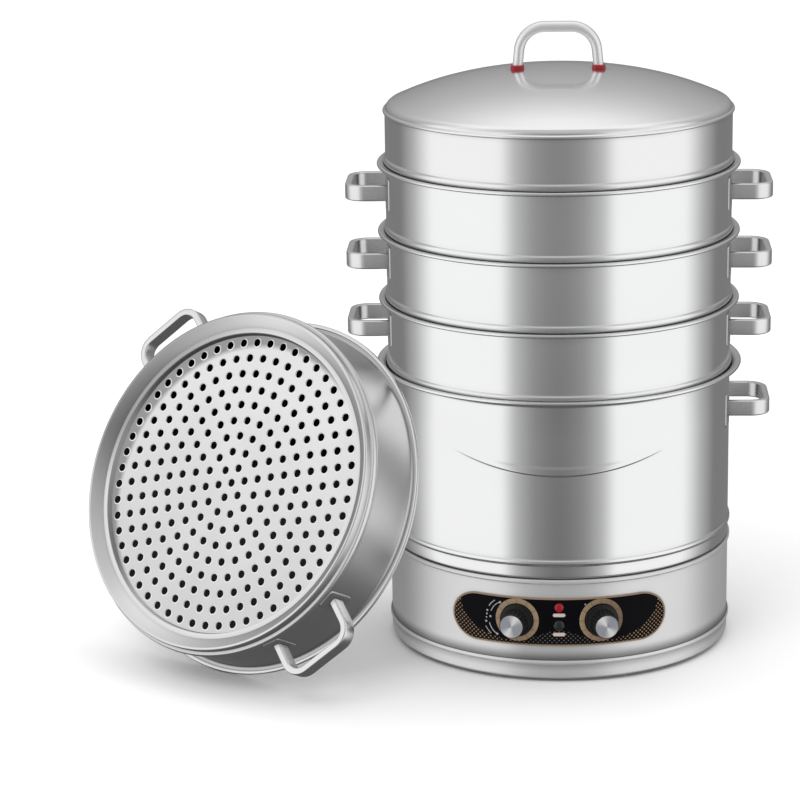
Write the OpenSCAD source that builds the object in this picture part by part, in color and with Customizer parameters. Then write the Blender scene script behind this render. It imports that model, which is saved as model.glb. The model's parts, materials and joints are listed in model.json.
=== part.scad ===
// Electric bun steamer for a shop counter. A heater base carries a fixed water pot. Three
// perforated tiers and a deep lid stack on the pot, and a fourth tier lies on its side, leaning
// on the pot's lip. The origin is the middle of the stack on the counter, +Z is up and the
// controls face -Y.

/* [Sheet metal] */
// Outer radius of every straight wall
wall_r = 225; // [215:1:235]
// Thickness of the pressed sheet
sheet = 1; // [0.8:0.1:1.2]
// How far the pressed beads stand proud of a wall
bead_out = 2.5; // [1.5:0.1:3]
// Radius of the wire in a rolled lip
lip_r = 2.6; // [2.2:0.1:3]
// Clearance between stacked pieces where they seat
seat_gap = 0.3; // [0.2:0.05:0.5]

/* [Heater base] */
// Height of the rubber feet that show under the housing
foot_h = 3.5; // [3:0.5:8]
// Radius of a rubber foot
foot_r = 16; // [12:1:20]
// Distance of the feet from the middle
foot_circle_r = 175; // [160:1:185]
// Height of the base housing
housing_h = 134.5; // [120:0.5:150]
// Radius of the housing's rounded lower edge
housing_edge_r = 4; // [3:0.5:10]
// Width of the flange that turns in under the housing
housing_flange_w = 12; // [8:1:16]
// Height of the housing's bead above its lower face
housing_bead_z = 23; // [20:0.5:28]
// Height of a pressed bead
bead_h = 7; // [5:0.5:8]
// Width of the shelf on which the pot stands
shelf_w = 16; // [12:1:20]
// Height of the seam collar at the top of the housing
seam_h = 4; // [3:0.5:6]
// Thickness of the floor plate
floor_t = 1.2; // [1:0.1:2]

/* [Control panel] */
// Height of the panel's middle above the housing's lower face
panel_z = 78; // [70:1:80]
// Height of the panel
panel_h = 64; // [58:1:68]
// Width of the panel, measured straight across
panel_w = 273; // [250:1:290]
// Thickness of the panel sheet
panel_t = 1; // [0.8:0.1:1.5]
// Width of the bright trim around the panel
trim_w = 1.8; // [1.2:0.1:3]
// How far the trim stands proud of the panel sheet
trim_out = 0.5; // [0.3:0.1:1]
// Angle of each knob from the middle of the panel
knob_angle = 13.8; // [13.5:0.1:17]
// Height of the knob axes above the panel's middle
knob_up = 1.5; // [0:0.5:4]
// Radius of a knob's skirt
knob_skirt_r = 21.5; // [19:0.5:23]
// Thickness of a knob's skirt at its rim
knob_skirt_t = 3.5; // [2.5:0.5:5]
// Radius of a knob's grip
knob_grip_r = 16.2; // [15.5:0.1:17.5]
// How far a knob stands out from its back face
knob_h = 28; // [22:1:34]
// Radius of the metal cap on a knob
knob_cap_r = 14.8; // [12:0.1:15]
// Thickness of the metal cap
knob_cap_t = 2; // [1.5:0.1:3]
// Gap between a knob's skirt and the panel sheet
knob_gap = 1.5; // [1.3:0.1:2.5]
// Number of grooves around a knob's grip
grip_grooves = 18; // [12:1:24]
// Radius of a control shaft
shaft_r = 3; // [2.5:0.1:4]
// Radial clearance of a shaft in its bore
shaft_clear = 0.06; // [0.03:0.01:0.1]
// Radius of the red lamp
power_lamp_r = 6; // [5:0.5:7]
// Height of the red lamp above the panel's middle
power_lamp_up = 19.5; // [18:0.5:23]
// Radius of the dark lamp
heat_lamp_r = 7; // [5:0.5:8]
// Height of the dark lamp above the panel's middle
heat_lamp_up = -4.5; // [-8:0.5:-3]
// How far a lamp lens stands out of the panel
lamp_out = 2.5; // [1.5:0.5:4]

/* [Water pot] */
// Height of the pot from the top of the housing to its lip
pot_h = 234.5; // [220:0.5:260]
// Height of the pot's lower bead above the top of the housing
pot_bead_z = 22; // [18:1:26]
// Radius of the pot's bottom corner
pot_edge_r = 4; // [3:0.5:6]
// How far the pot's lip stands out from its wall, to the middle of the wire
pot_lip_out = 12.1; // [11.6:0.1:13]
// Radius of the curve by which the pot's wall turns out to its lip
pot_flare_r = 11.5; // [8:0.5:11.5]
// Height of the pressed crescent's middle above the top of the housing
crescent_z = 136; // [120:1:150]
// Height of the pressed crescent at its middle
crescent_h = 13; // [10:1:16]
// Slope of the crescent's upper edge
crescent_rise = 0.27; // [0.2:0.01:0.3]
// Slope of the crescent's lower edge
crescent_turn = 0.56; // [0.5:0.01:0.65]
// How far the crescent stands proud of the wall
crescent_out = 0.7; // [0.5:0.1:1]
// Distance of the pot's handles below its lip
pot_handle_drop = 56; // [50:1:60]

/* [Tiers] */
// Height of a tier from its lower edge to the middle of its lip
tier_h = 99.5; // [92:0.5:110]
// How far the nesting skirt is drawn in from the wall
skirt_in = 3; // [2:0.5:4]
// Height of the nesting skirt below the seating bead
skirt_h = 10.6; // [8:0.1:13]
// Height of the seating bead
seat_bead_h = 10; // [8:0.5:11]
// How far a tier's lip stands out from its wall, to the middle of the wire
tier_lip_out = 8.4; // [8:0.1:9]
// Radius of the curve by which a tier's wall turns out to its lip
tier_flare_r = 5; // [4:0.5:7]
// Width of the cone that turns in under a tier
cone_w = 17; // [14:1:19]
// Height of that cone
cone_h = 12; // [9:1:14]
// Radius of the corner between the skirt and the cone
cone_edge_r = 2.5; // [2:0.1:3]
// Width of the land that carries the plate
land_w = 6; // [5:0.5:8]
// Height of the plate's step above its rim
plate_step = 7; // [5:0.5:9]
// Width of the plate's rim on the land
plate_rim_w = 4; // [3:0.5:4.5]
// Number of rings of holes round the middle hole
hole_rings = 9; // [7:1:9]
// Distance between rings of holes
hole_pitch = 20.8; // [18:0.1:20.9]
// Diameter of a steam hole
hole_d = 11; // [8:0.5:12]

/* [Side handles] */
// How far a side handle stands out from the wall
handle_out = 51.5; // [40:0.5:54]
// Width of a side handle along the wall
handle_w = 106; // [95:1:112]
// Height of the handle's strap
strap_h = 20.5; // [18:0.5:26]
// Thickness of the handle's strap
strap_t = 9; // [6:0.5:11]
// Outer corner radius of the handle's strap
strap_corner_r = 26; // [18:1:30]
// Height of a handle's pad
pad_h = 44; // [36:1:48]
// Distance of a pad's middle below its strap's middle
pad_down = 2; // [0:0.5:4]
// Width of a handle's pad
pad_w = 24; // [18:1:28]
// Thickness of a handle's pad
pad_t = 1.6; // [1.2:0.1:2.4]
// Corner radius of a handle's pad
pad_corner_r = 4; // [2:0.5:6]
// Distance of the handles below a tier's lip
handle_drop = 33; // [30:1:36]

/* [Lid] */
// Height of the lid's band from its lower edge to its rim
band_h = 79; // [70:0.5:90]
// Radius of the lid's crown
crown_r = 540; // [480:5:600]
// Height of the foot of the lid's shoulder above the rim bead
shoulder_up = 1.1; // [0.5:0.1:8]
// Radius of the lid's shoulder
shoulder_r = 22; // [18:1:24]
// Height of the lid's rim bead
rim_bead_h = 5; // [4:0.5:7]
// Width of the lid handle
bar_w = 119; // [105:1:130]
// Height of the lid handle's bar above the crown's apex
bar_up = 53; // [46:1:60]
// Thickness of the bar
bar_t = 12.5; // [10:0.5:14]
// Depth of the bar, front to back
bar_d = 20; // [16:1:24]
// Outer bend radius of the bar
bar_bend_r = 30; // [26:1:34]
// Radius of the bar's rounded edges
bar_edge_r = 4; // [3:0.5:4.5]
// Height of the rubber grommets between the bar and the crown
grommet_h = 10; // [8:0.5:13]
// How far a grommet stands out round the bar
grommet_rim = 2.4; // [1.5:0.1:3]
// Radius of the studs that hold the lid handle
stud_r = 3; // [2.5:0.5:4]

/* [Leaning tier] */
// Direction, seen from above, in which the leaning tier's mouth points
lean_turn = 55.4; // [50:0.2:60]
// Angle by which the mouth points below the level
lean_tilt = 26.8; // [22:0.2:30]
// Direction of the leaning tier's mouth from the middle of the stack
lean_side = 194.7; // [190:0.1:200]
// Turn of the leaning tier's handles about its own axis
lean_roll = 133.5; // [120:0.5:150]
// Distance of the leaning tier's handles below its lip
lean_handle_drop = 54.5; // [50:0.5:62]

/* [Inside the base] */
// Radius of the cast heater plate
heater_r = 130; // [110:1:150]
// Thickness of the cast heater plate
heater_t = 12; // [9:1:16]
// Radius of the ring that the heating tube follows
tube_ring_r = 95; // [80:1:105]
// Radius of the heating tube
tube_r = 4.2; // [3.5:0.1:5]
// Thickness of the insulation disc
insulation_t = 10; // [8:1:14]
// Gap between the heater plate and the insulation disc
insulation_gap = 8; // [5.5:0.5:11]
// Radius of the stud that carries the insulation disc
centre_stud_r = 4; // [3:0.5:6]
// Depth of the control bracket behind the housing wall
bracket_back = 10; // [9.5:0.5:12]
// Thickness of the control bracket
bracket_t = 1.5; // [1:0.1:2]
// Side of the thermostat body
thermostat_w = 38; // [30:1:44]
// Depth of the thermostat body
thermostat_d = 24; // [18:1:30]
// Radius of the timer body
timer_r = 24; // [20:1:27]
// Depth of the timer body
timer_d = 34; // [28:1:40]
// Width of the power inlet's flange
inlet_w = 46; // [40:1:56]
// Height of the power inlet's flange
inlet_h = 34; // [28:1:40]
// Height of the power inlet's middle above the housing's lower face
inlet_z = 50; // [46:1:60]
// Side of the terminal block's base
block_w = 60; // [50:1:70]
// Height of the terminal block
block_h = 22; // [18:1:28]

/* [Hidden] */
$fn = 96;

steel = "#c9cbce";
bright = "#dedfe1";

// Heights and radii that follow from the sizes above
base_top = foot_h + housing_h;
pot_lip_z = base_top + pot_h;
bead_r = wall_r + bead_out;
skirt_r = wall_r - skirt_in;
land_r = skirt_r - cone_w;
opening_r = land_r - land_w;
panel_mid_z = foot_h + panel_z;
knob_z = panel_mid_z + knob_up;

// How far below the wire's top the sheet lies on a rolled lip
lip_lap = 0.3;
// How far a piece reaches down past the lip on which its seating bead rests. Each point of the
// bead's outline keeps the seat gap to the curved inside of the lip, and one of them decides
function flare_mid_z(flare_r) = lip_r - lip_lap - sheet - flare_r;
function rest_z(p, flare_r) = flare_mid_z(flare_r) - p[1]
    + sqrt(pow(flare_r + sheet + seat_gap, 2) - pow(max(0, wall_r + flare_r - p[0]), 2));
function nest(flare_r) = -max([for (p = bead(skirt_h, seat_bead_h)) rest_z(p, flare_r)]);
pot_nest = nest(pot_flare_r);
tier_nest = nest(tier_flare_r);
lower_z = pot_lip_z - pot_nest;
middle_z = lower_z + tier_h - tier_nest;
upper_z = middle_z + tier_h - tier_nest;
lid_z = upper_z + tier_h - tier_nest;
rim_z = lid_z + band_h;

// Points and curves of the sheet profiles, written as [radius, height]
function arc(x, z, r, from, to, steps) =
    [for (i = [0:steps]) let(a = from + (to - from) * i / steps) [x + r * cos(a), z + r * sin(a)]];
function bead(z, h) =
    [for (a = [-90:30:90]) [wall_r + bead_out * cos(a), z + h / 2 + h / 2 * sin(a)]];
function unit(v) = v / norm(v);
function left(v) = [-v[1], v[0]];
function before(p, i) = unit(i > 0 ? p[i] - p[i - 1] : p[1] - p[0]);
function after(p, i) = unit(i < len(p) - 1 ? p[i + 1] - p[i] : p[i] - p[i - 1]);
// The same path one sheet thickness to the left, with its corners mitred
function inner(p, t) = [for (i = [0:len(p) - 1])
    let(a = before(p, i), b = after(p, i)) p[i] + t * (left(a) + left(b)) / (1 + a * b)];
function turned_back(p) = [for (i = [len(p) - 1:-1:0]) p[i]];

// A sheet that follows a path, spun about the axis
module spun(path, t = sheet) {
    rotate_extrude() polygon(concat(path, turned_back(inner(path, t))));
}

// A rolled lip: the wire's outline, spun about the axis
module rolled_lip(r, z) {
    rotate_extrude() translate([r, z]) circle(r = lip_r, $fn = 32);
}

// The round bead on which a piece sits, above a skirt that starts at height z
function seat_bead(z) = concat([[skirt_r, z + skirt_h]], bead(z + skirt_h, seat_bead_h));

// The wall turns out below a lip until it lies flat on the wire, just under the wire's top
function flare(z, flare_r, lip_out) = concat(
    arc(wall_r + flare_r, z + flare_mid_z(flare_r), flare_r, 180, 90, 8),
    [[wall_r + lip_out, z + lip_r - lip_lap - sheet]]);

// Puts a child on the curved front, its +Z pointing outwards, at an angle and a height
module on_front(angle, z, r = wall_r) {
    rotate([0, 0, angle]) translate([0, -r, z]) rotate([90, 0, 0]) children();
}

module rounded(w, d, r) {
    square([w - 2 * r, d], center = true);
    square([w, d - 2 * r], center = true);
    for (x = [-1, 1], y = [-1, 1])
        translate([x * (w / 2 - r), y * (d / 2 - r)]) circle(r = r, $fn = 48);
}

module stadium(w, h) {
    square([w - h, h], center = true);
    for (x = [-1, 1]) translate([x * (w - h) / 2, 0]) circle(d = h);
}

module tube(r_in, r_out, h) {
    difference() {
        cylinder(r = r_out, h = h);
        translate([0, 0, -1]) cylinder(r = r_in, h = h + 2);
    }
}

// Heater base

shaft_bore_r = shaft_r + shaft_clear;

module base_housing() color(steel) difference() {
    spun(concat(
        [[wall_r - housing_edge_r - housing_flange_w, foot_h]],
        arc(wall_r - housing_edge_r, foot_h + housing_edge_r, housing_edge_r, 270, 360, 6),
        bead(foot_h + housing_bead_z - bead_h / 2, bead_h),
        [[wall_r, base_top - seam_h - bead_out],
         [bead_r, base_top - seam_h],
         [bead_r, base_top - sheet],
         [bead_r - sheet, base_top],
         [wall_r - shelf_w, base_top]]));
    panel_bores(wall_r);
    inlet_opening();
    floor_screw_holes();
}

// Bores for the shafts and the lamps through a sheet that ends at radius r
module panel_bores(r) {
    for (side = [-1, 1])
        on_front(side * knob_angle, knob_z, r - bracket_back / 2)
            cylinder(r = shaft_r + sheet, h = bracket_back);
    on_front(0, panel_mid_z + power_lamp_up, r - bracket_back / 2)
        cylinder(r = power_lamp_r, h = bracket_back);
    on_front(0, panel_mid_z + heat_lamp_up, r - bracket_back / 2)
        cylinder(r = heat_lamp_r, h = bracket_back);
}

inlet_side_rim = 7;
inlet_top_rim = 4;
inlet_body_w = inlet_w - 2 * inlet_side_rim;
inlet_body_h = inlet_h - 2 * inlet_top_rim;
inlet_screw_in = 3.8;
inlet_screw_x = inlet_w / 2 - inlet_screw_in;
inlet_screw_r = 1.6;

module inlet_opening() on_front(180, foot_h + inlet_z, wall_r - 3 * inlet_flange_t)
    linear_extrude(6 * inlet_flange_t) {
        square([inlet_body_w, inlet_body_h], center = true);
        for (x = [-1, 1]) translate([x * inlet_screw_x, 0]) circle(r = inlet_screw_r);
    }

floor_inset = 2;
floor_r = wall_r - housing_edge_r - floor_inset;
floor_z = foot_h + sheet;
screw_r = 2;
screw_head_r = 3.6;
screw_head_h = 1.8;
screw_reach = 5;
floor_screw_circle = wall_r - housing_edge_r - housing_flange_w / 2;
floor_screws_count = 8;
floor_screw_step = 360 / floor_screws_count;
vent_slots = 12;
vent_w = 5;
vent_l = 34;
vent_mid_r = 118;

module floor_screw_holes() for (i = [0:floor_screws_count - 1])
    rotate([0, 0, (i + 0.5) * floor_screw_step]) translate([floor_screw_circle, 0, 0])
        cylinder(r = screw_r, h = foot_h + screw_reach);

module base_floor() color("#9b9da0") difference() {
    translate([0, 0, floor_z]) cylinder(r = floor_r, h = floor_t);
    for (i = [0:vent_slots - 1]) rotate([0, 0, (i + 0.5) * 360 / vent_slots])
        translate([vent_mid_r, 0, floor_z - 1]) linear_extrude(floor_t + 2) stadium(vent_l, vent_w);
    for (i = [0:3]) rotate([0, 0, 45 + 90 * i])
        translate([foot_circle_r, 0, floor_z - 1]) cylinder(r = screw_r, h = floor_t + 2);
    floor_screw_holes();
}

module floor_screws() color("#8a8c8f") for (i = [0:floor_screws_count - 1])
    rotate([0, 0, (i + 0.5) * floor_screw_step]) translate([floor_screw_circle, 0, 0]) {
        translate([0, 0, foot_h - screw_head_h]) cylinder(r = screw_head_r, h = screw_head_h);
        translate([0, 0, foot_h]) cylinder(r = screw_r, h = screw_reach);
    }

foot_edge = 1.5;
foot_draft = 1;
module rubber_feet() color("#26272a")
    for (i = [0:3]) rotate([0, 0, 45 + 90 * i]) translate([foot_circle_r, 0, 0]) {
        rotate_extrude() polygon([[0, 0], [foot_r - foot_edge, 0], [foot_r, foot_edge],
                                  [foot_r - foot_draft, floor_z], [0, floor_z]]);
        cylinder(r = screw_r, h = floor_z + floor_t + 1);
        translate([0, 0, floor_z + floor_t]) cylinder(r = screw_head_r, h = screw_head_h);
    }

// Water pot

pot_edge_z = base_top + pot_edge_r;
// The crescent lies between two tilted planes that meet at its two ends
crescent_mid_z = base_top + crescent_z;

module tilted_slab(z, slope, up) {
    translate([0, -wall_r, z]) rotate([atan(slope), 0, 0])
        translate([-wall_r, -wall_r, up ? 0 : -wall_r]) cube([2 * wall_r, 3 * wall_r, wall_r]);
}

module pressed_crescent() intersection() {
    translate([0, 0, base_top]) tube(wall_r - sheet / 2, wall_r + crescent_out, pot_h);
    translate([-wall_r, -2 * wall_r, base_top]) cube([2 * wall_r, 2 * wall_r, pot_h]);
    tilted_slab(crescent_mid_z - crescent_h / 2, crescent_turn, true);
    tilted_slab(crescent_mid_z + crescent_h / 2, crescent_rise, false);
}

module pot_shell() color(bright) union() {
    spun(concat(
        [[0, base_top]],
        arc(wall_r - pot_edge_r, pot_edge_z, pot_edge_r, 270, 360, 4),
        bead(base_top + pot_bead_z - bead_h / 2, bead_h),
        flare(pot_lip_z, pot_flare_r, pot_lip_out)));
    rolled_lip(wall_r + pot_lip_out, pot_lip_z);
    pressed_crescent();
}

clamp_z = base_top - sheet;
clamp_t = 2.5;
clamp_screws_count = 8;
clamp_lap = 8;
clamp_clear = 14;
clamp_screw_in = 18;
clamp_out_r = wall_r - shelf_w + clamp_lap;

module pot_clamp_ring() color("#a6a8ab") translate([0, 0, clamp_z - clamp_t]) difference() {
    tube(heater_r + clamp_clear, clamp_out_r, clamp_t);
    for (i = [0:clamp_screws_count - 1]) rotate([0, 0, i * 360 / clamp_screws_count])
        translate([clamp_out_r - clamp_screw_in, 0, -1]) cylinder(r = screw_r, h = clamp_t + 2);
}

module clamp_screws() color("#8a8c8f")
    for (i = [0:clamp_screws_count - 1]) rotate([0, 0, i * 360 / clamp_screws_count])
        translate([clamp_out_r - clamp_screw_in, 0, 0]) {
            translate([0, 0, clamp_z - clamp_t - screw_head_h])
                cylinder(r = screw_head_r, h = screw_head_h);
            translate([0, 0, clamp_z - clamp_t]) cylinder(r = screw_r, h = clamp_t + sheet);
        }

// Side handles, alike on the pot and on the tiers. z is the height of the strap's middle

pad_y = handle_w / 2 - strap_t / 2;

module handle_loops(z) for (turn = [0, 180]) rotate([0, 0, turn]) difference() {
    translate([0, 0, z - strap_h / 2]) linear_extrude(strap_h) difference() {
        translate([wall_r, 0]) rounded(2 * handle_out, handle_w, strap_corner_r);
        translate([wall_r, 0]) rounded(2 * (handle_out - strap_t), handle_w - 2 * strap_t,
                                       strap_corner_r - strap_t);
    }
    translate([0, 0, z - strap_h]) cylinder(r = wall_r + pad_t, h = 2 * strap_h);
}

module handle_pads(z) for (turn = [0, 180], y = [-1, 1]) rotate([0, 0, turn]) intersection() {
    translate([0, 0, z - pad_h]) tube(wall_r, wall_r + pad_t, 2 * pad_h);
    translate([0, y * pad_y, z - pad_down]) rotate([0, 90, 0])
        linear_extrude(2 * wall_r) rounded(pad_h, pad_w, pad_corner_r);
}

pot_handle_z = pot_lip_z - pot_handle_drop;
module pot_handles() color(steel) handle_loops(pot_handle_z);
module pot_handle_pads() color(steel) handle_pads(pot_handle_z);

// Heater under the pot

heater_top = base_top;
insulation_top = heater_top - heater_t - insulation_gap;
tube_gap_angle = 24;
cold_leg_l = 14;

module heater_plate() color("#b4b5b6") difference() {
    translate([0, 0, heater_top - heater_t]) cylinder(r = heater_r, h = heater_t);
    translate([0, 0, heater_top - heater_t]) rotate_extrude()
        translate([tube_ring_r, 0]) circle(r = tube_r, $fn = 32);
    translate([0, 0, heater_top - heater_t - 1]) cylinder(r = centre_stud_r, h = heater_t / 2 + 1);
}

module heating_tube() color("#5d5a57") translate([0, 0, heater_top - heater_t]) {
    rotate([0, 0, 90 + tube_gap_angle / 2]) rotate_extrude(angle = 360 - tube_gap_angle)
        translate([tube_ring_r, 0]) circle(r = tube_r, $fn = 32);
    for (side = [-1, 1]) rotate([0, 0, side * tube_gap_angle / 2]) translate([0, tube_ring_r, 0]) {
        sphere(r = tube_r, $fn = 32);
        translate([0, 0, -cold_leg_l]) cylinder(r = tube_r, h = cold_leg_l);
    }
}

cold_leg_clear = 1;
cold_leg_hole_r = tube_r + cold_leg_clear;

module insulation_disc() color("#e8e4da") difference() {
    translate([0, 0, insulation_top - insulation_t]) cylinder(r = heater_r, h = insulation_t);
    for (side = [-1, 1]) rotate([0, 0, side * tube_gap_angle / 2])
        translate([0, tube_ring_r, insulation_top - insulation_t - 1])
            cylinder(r = cold_leg_hole_r, h = insulation_t + 2);
    translate([0, 0, insulation_top - insulation_t - 1])
        cylinder(r = centre_stud_r, h = insulation_t + 2);
}

stud_tail = 6;
stud_nut_h = 5;
stud_nut_r = 2.2 * centre_stud_r;
module centre_stud() color("#8a8c8f") translate([0, 0, insulation_top - insulation_t]) {
    translate([0, 0, -stud_tail])
        cylinder(r = centre_stud_r, h = stud_tail + insulation_t + insulation_gap + heater_t / 2);
    translate([0, 0, -stud_nut_h]) cylinder(r = stud_nut_r, h = stud_nut_h, $fn = 6);
}

cutout_r = 8;
cutout_x = 45;
cutout_clear = 0.5;
cutout_h = insulation_gap - cutout_clear;
module thermal_cutout() color("#3b3b3d")
    translate([cutout_x, 0, heater_top - heater_t - cutout_h]) cylinder(r = cutout_r, h = cutout_h);

// Control panel

fascia_r = wall_r + panel_t;

module panel_prism(w, h) {
    translate([0, 0, panel_mid_z]) rotate([90, 0, 0]) linear_extrude(2 * wall_r) stadium(w, h);
}

module control_fascia() color("#16161a") difference() {
    intersection() {
        translate([0, 0, panel_mid_z - panel_h]) tube(wall_r, fascia_r, 2 * panel_h);
        panel_prism(panel_w - 2 * trim_w, panel_h - 2 * trim_w);
    }
    panel_bores(wall_r);
}

module fascia_trim() color("#cdbb8e") difference() {
    intersection() {
        translate([0, 0, panel_mid_z - panel_h]) tube(wall_r, fascia_r + trim_out, 2 * panel_h);
        panel_prism(panel_w, panel_h);
    }
    panel_prism(panel_w - 2 * trim_w, panel_h - 2 * trim_w);
}

// The bracket is a curved strip behind the housing wall, bent in at its lower edge
bracket_r = wall_r - sheet - bracket_back;
bracket_angle = 26;
bracket_foot = 16;
bracket_z0 = floor_z + floor_t;

module front_sector(half, r, z, h) {
    translate([0, 0, z]) linear_extrude(h) polygon([
        [0, 0], for (i = [-4:4]) 1.2 * r * [sin(half * i / 4), -cos(half * i / 4)]]);
}

module control_bracket() color("#a6a8ab") difference() {
    intersection() {
        union() {
            translate([0, 0, bracket_z0])
                tube(bracket_r - bracket_t, bracket_r, panel_z + panel_h / 2);
            translate([0, 0, bracket_z0])
                tube(bracket_r - bracket_t - bracket_foot, bracket_r, bracket_t);
        }
        front_sector(bracket_angle, wall_r, bracket_z0, panel_z + panel_h);
    }
    for (side = [-1, 1])
        on_front(side * knob_angle, knob_z, bracket_r - 2 * bracket_t)
            cylinder(r = shaft_r + sheet, h = 4 * bracket_t);
    for (lamp = [[power_lamp_up, power_lamp_r], [heat_lamp_up, heat_lamp_r]])
        on_front(0, panel_mid_z + lamp[0], bracket_r - 2 * bracket_t)
            cylinder(r = lamp[1] - lamp_hole_in, h = 4 * bracket_t);
    floor_screw_holes();
}

// A body of radius or half width w behind the curved bracket keeps this far back, so that
// its flat face clears the curve
curve_clear = 0.2;
function behind(w) = sqrt(pow(bracket_r - bracket_t, 2) - pow(w, 2)) - curve_clear;

// Length over which a shaft runs in its control body
bearing_l = 8;
// Gap between a shaft's inner end and the foot of its bearing
shaft_end_gap = 1;
thermostat_back = behind(thermostat_w / 2) - thermostat_d;
timer_cover_h = 2;
timer_cover_in = 4;
timer_back = behind(timer_r) - timer_d - timer_cover_h;

module thermostat_body() color("#d9d6cc")
    on_front(-knob_angle, knob_z, thermostat_back) difference() {
        linear_extrude(thermostat_d) rounded(thermostat_w, thermostat_w, 3);
        translate([0, 0, thermostat_d - bearing_l]) cylinder(r = shaft_bore_r, h = bearing_l + 1);
    }

module timer_body() color("#caccce")
    on_front(knob_angle, knob_z, timer_back) difference() {
        union() {
            translate([0, 0, timer_cover_h]) cylinder(r = timer_r, h = timer_d);
            cylinder(r = timer_r - timer_cover_in, h = timer_cover_h + 1);
        }
        translate([0, 0, timer_cover_h + timer_d - bearing_l])
            cylinder(r = shaft_bore_r, h = bearing_l + 1);
    }

module lens(r, up, glow) color(glow) on_front(0, panel_mid_z + up, fascia_r) rotate_extrude()
    polygon(concat([[0, -lamp_seat]], [[r, -lamp_seat], [r, 0]],
                   [for (a = [15:15:90]) [r * cos(a), lamp_out * sin(a)]]));

lamp_seat = panel_t + sheet;
module power_lamp_lens() lens(power_lamp_r, power_lamp_up, "#b01020");
module heat_lamp_lens() lens(heat_lamp_r, heat_lamp_up, "#3c4244");

lamp_hole_in = 1;
lamp_holder_in = 1.5;
lamp_holder_tail = 12;
module lamp_holders() color("#2f3033")
    for (lamp = [[power_lamp_up, power_lamp_r], [heat_lamp_up, heat_lamp_r]])
        on_front(0, panel_mid_z + lamp[0], bracket_r - bracket_t - lamp_holder_tail)
            cylinder(r = lamp[1] - lamp_holder_in,
                     h = fascia_r - lamp_seat - bracket_r + bracket_t + lamp_holder_tail);

// Knobs: local +Z points out of the panel and z = 0 is the back of the skirt

knob_back_r = fascia_r + knob_gap;
groove_r = 1;
knob_edge = 1;
knob_cove_w = 1.5;
knob_cove_h = 3;
knob_draft = 0.6;
cap_edge = 0.6;
pointer_w = 1.6;
pointer_l = 5;
pointer_h = 1.4;
pointer_in = 3.2;

module at_knob(side) on_front(side * knob_angle, knob_z, knob_back_r) children();

module knob_body() difference() {
    rotate_extrude() polygon([
        [shaft_r, 0], [knob_skirt_r, 0], [knob_skirt_r, knob_skirt_t - knob_edge],
        [knob_skirt_r - knob_edge, knob_skirt_t],
        [knob_grip_r + knob_cove_w, knob_skirt_t + knob_cove_h / 4],
        [knob_grip_r, knob_skirt_t + knob_cove_h],
        [knob_grip_r - knob_draft, knob_h - knob_edge],
        [knob_grip_r - 2 * knob_draft, knob_h - knob_cap_t / 4],
        [knob_cap_r, knob_h - knob_cap_t / 4], [knob_cap_r, knob_h - knob_cap_t],
        [shaft_r, knob_h - knob_cap_t]]);
    for (i = [0:grip_grooves - 1]) rotate([0, 0, (i + 0.5) * 360 / grip_grooves])
        translate([knob_grip_r + groove_r / 3, 0, knob_skirt_t + knob_cove_h + groove_r / 2])
            cylinder(r = groove_r, h = knob_h - knob_skirt_t - 2 * knob_cove_h - groove_r / 2, $fn = 16);
}

module knob_pointer() translate([0, knob_skirt_r - pointer_in, knob_skirt_t - knob_edge])
    linear_extrude(pointer_h) square([pointer_w, pointer_l], center = true);

module knob_cap() translate([0, 0, knob_h - knob_cap_t]) rotate_extrude()
    polygon([[0, 0], [knob_cap_r, 0], [knob_cap_r, knob_cap_t - cap_edge],
             [knob_cap_r - cap_edge, knob_cap_t], [0, knob_cap_t]]);

// The shaft runs from a control body through the bracket and the housing into its knob
shaft_tip = knob_h - knob_cap_t;
function shaft_depth(w) = knob_back_r - behind(w) + bearing_l - shaft_end_gap;
module shaft(w) translate([0, 0, -shaft_depth(w)])
    cylinder(r = shaft_r, h = shaft_depth(w) + shaft_tip);

module thermostat_knob() color("#1b1b1e") at_knob(-1) union() { knob_body(); knob_pointer(); }
module thermostat_knob_cap() color(bright) at_knob(-1) knob_cap();
module thermostat_shaft() color("#8a8c8f") at_knob(-1) shaft(thermostat_w / 2);
module timer_knob() color("#1b1b1e") at_knob(1) union() { knob_body(); knob_pointer(); }
module timer_knob_cap() color(bright) at_knob(1) knob_cap();
module timer_shaft() color("#8a8c8f") at_knob(1) shaft(timer_r);

// Power inlet at the back, and the wiring

inlet_flange_t = 3;
inlet_depth = 26;
inlet_back_t = 3;
inlet_wall = 2.2;
inlet_pocket_r = 2;
// Play of the inlet's body in its opening
inlet_play = 1;
inlet_screw_head_r = 2.9;
pin_w = 2;
pin_h = 8;
pin_l = 17;
pin_pitch = 7.8;
earth_pin_y = 4;
live_pin_y = -3;
// A flat flange on a curved wall stands off by the curve's depth across its width
inlet_seat_r = wall_r + curve_clear / 2;

module inlet_face() on_front(180, foot_h + inlet_z, inlet_seat_r) children();

module power_inlet() color("#1d1d1f") inlet_face() difference() {
    union() {
        linear_extrude(inlet_flange_t) rounded(inlet_w, inlet_h, 4);
        translate([0, 0, -inlet_depth])
            linear_extrude(inlet_depth)
                square([inlet_body_w - inlet_play, inlet_body_h - inlet_play], center = true);
    }
    translate([0, 0, -inlet_depth + inlet_back_t]) linear_extrude(inlet_depth + inlet_flange_t)
        rounded(inlet_body_w - inlet_play - 2 * inlet_wall, inlet_body_h - inlet_play - 2 * inlet_wall,
                inlet_pocket_r);
    for (x = [-1, 1]) translate([x * inlet_screw_x, 0, -1])
        cylinder(r = inlet_screw_r, h = inlet_flange_t + 2);
}

module inlet_pins() color("#c9b06a") inlet_face() for (x = [-1:1])
    translate([x * pin_pitch, x == 0 ? earth_pin_y : live_pin_y, -inlet_depth + inlet_back_t])
        linear_extrude(pin_l) square(x == 0 ? [pin_h, pin_w] : [pin_w, pin_h], center = true);

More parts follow.
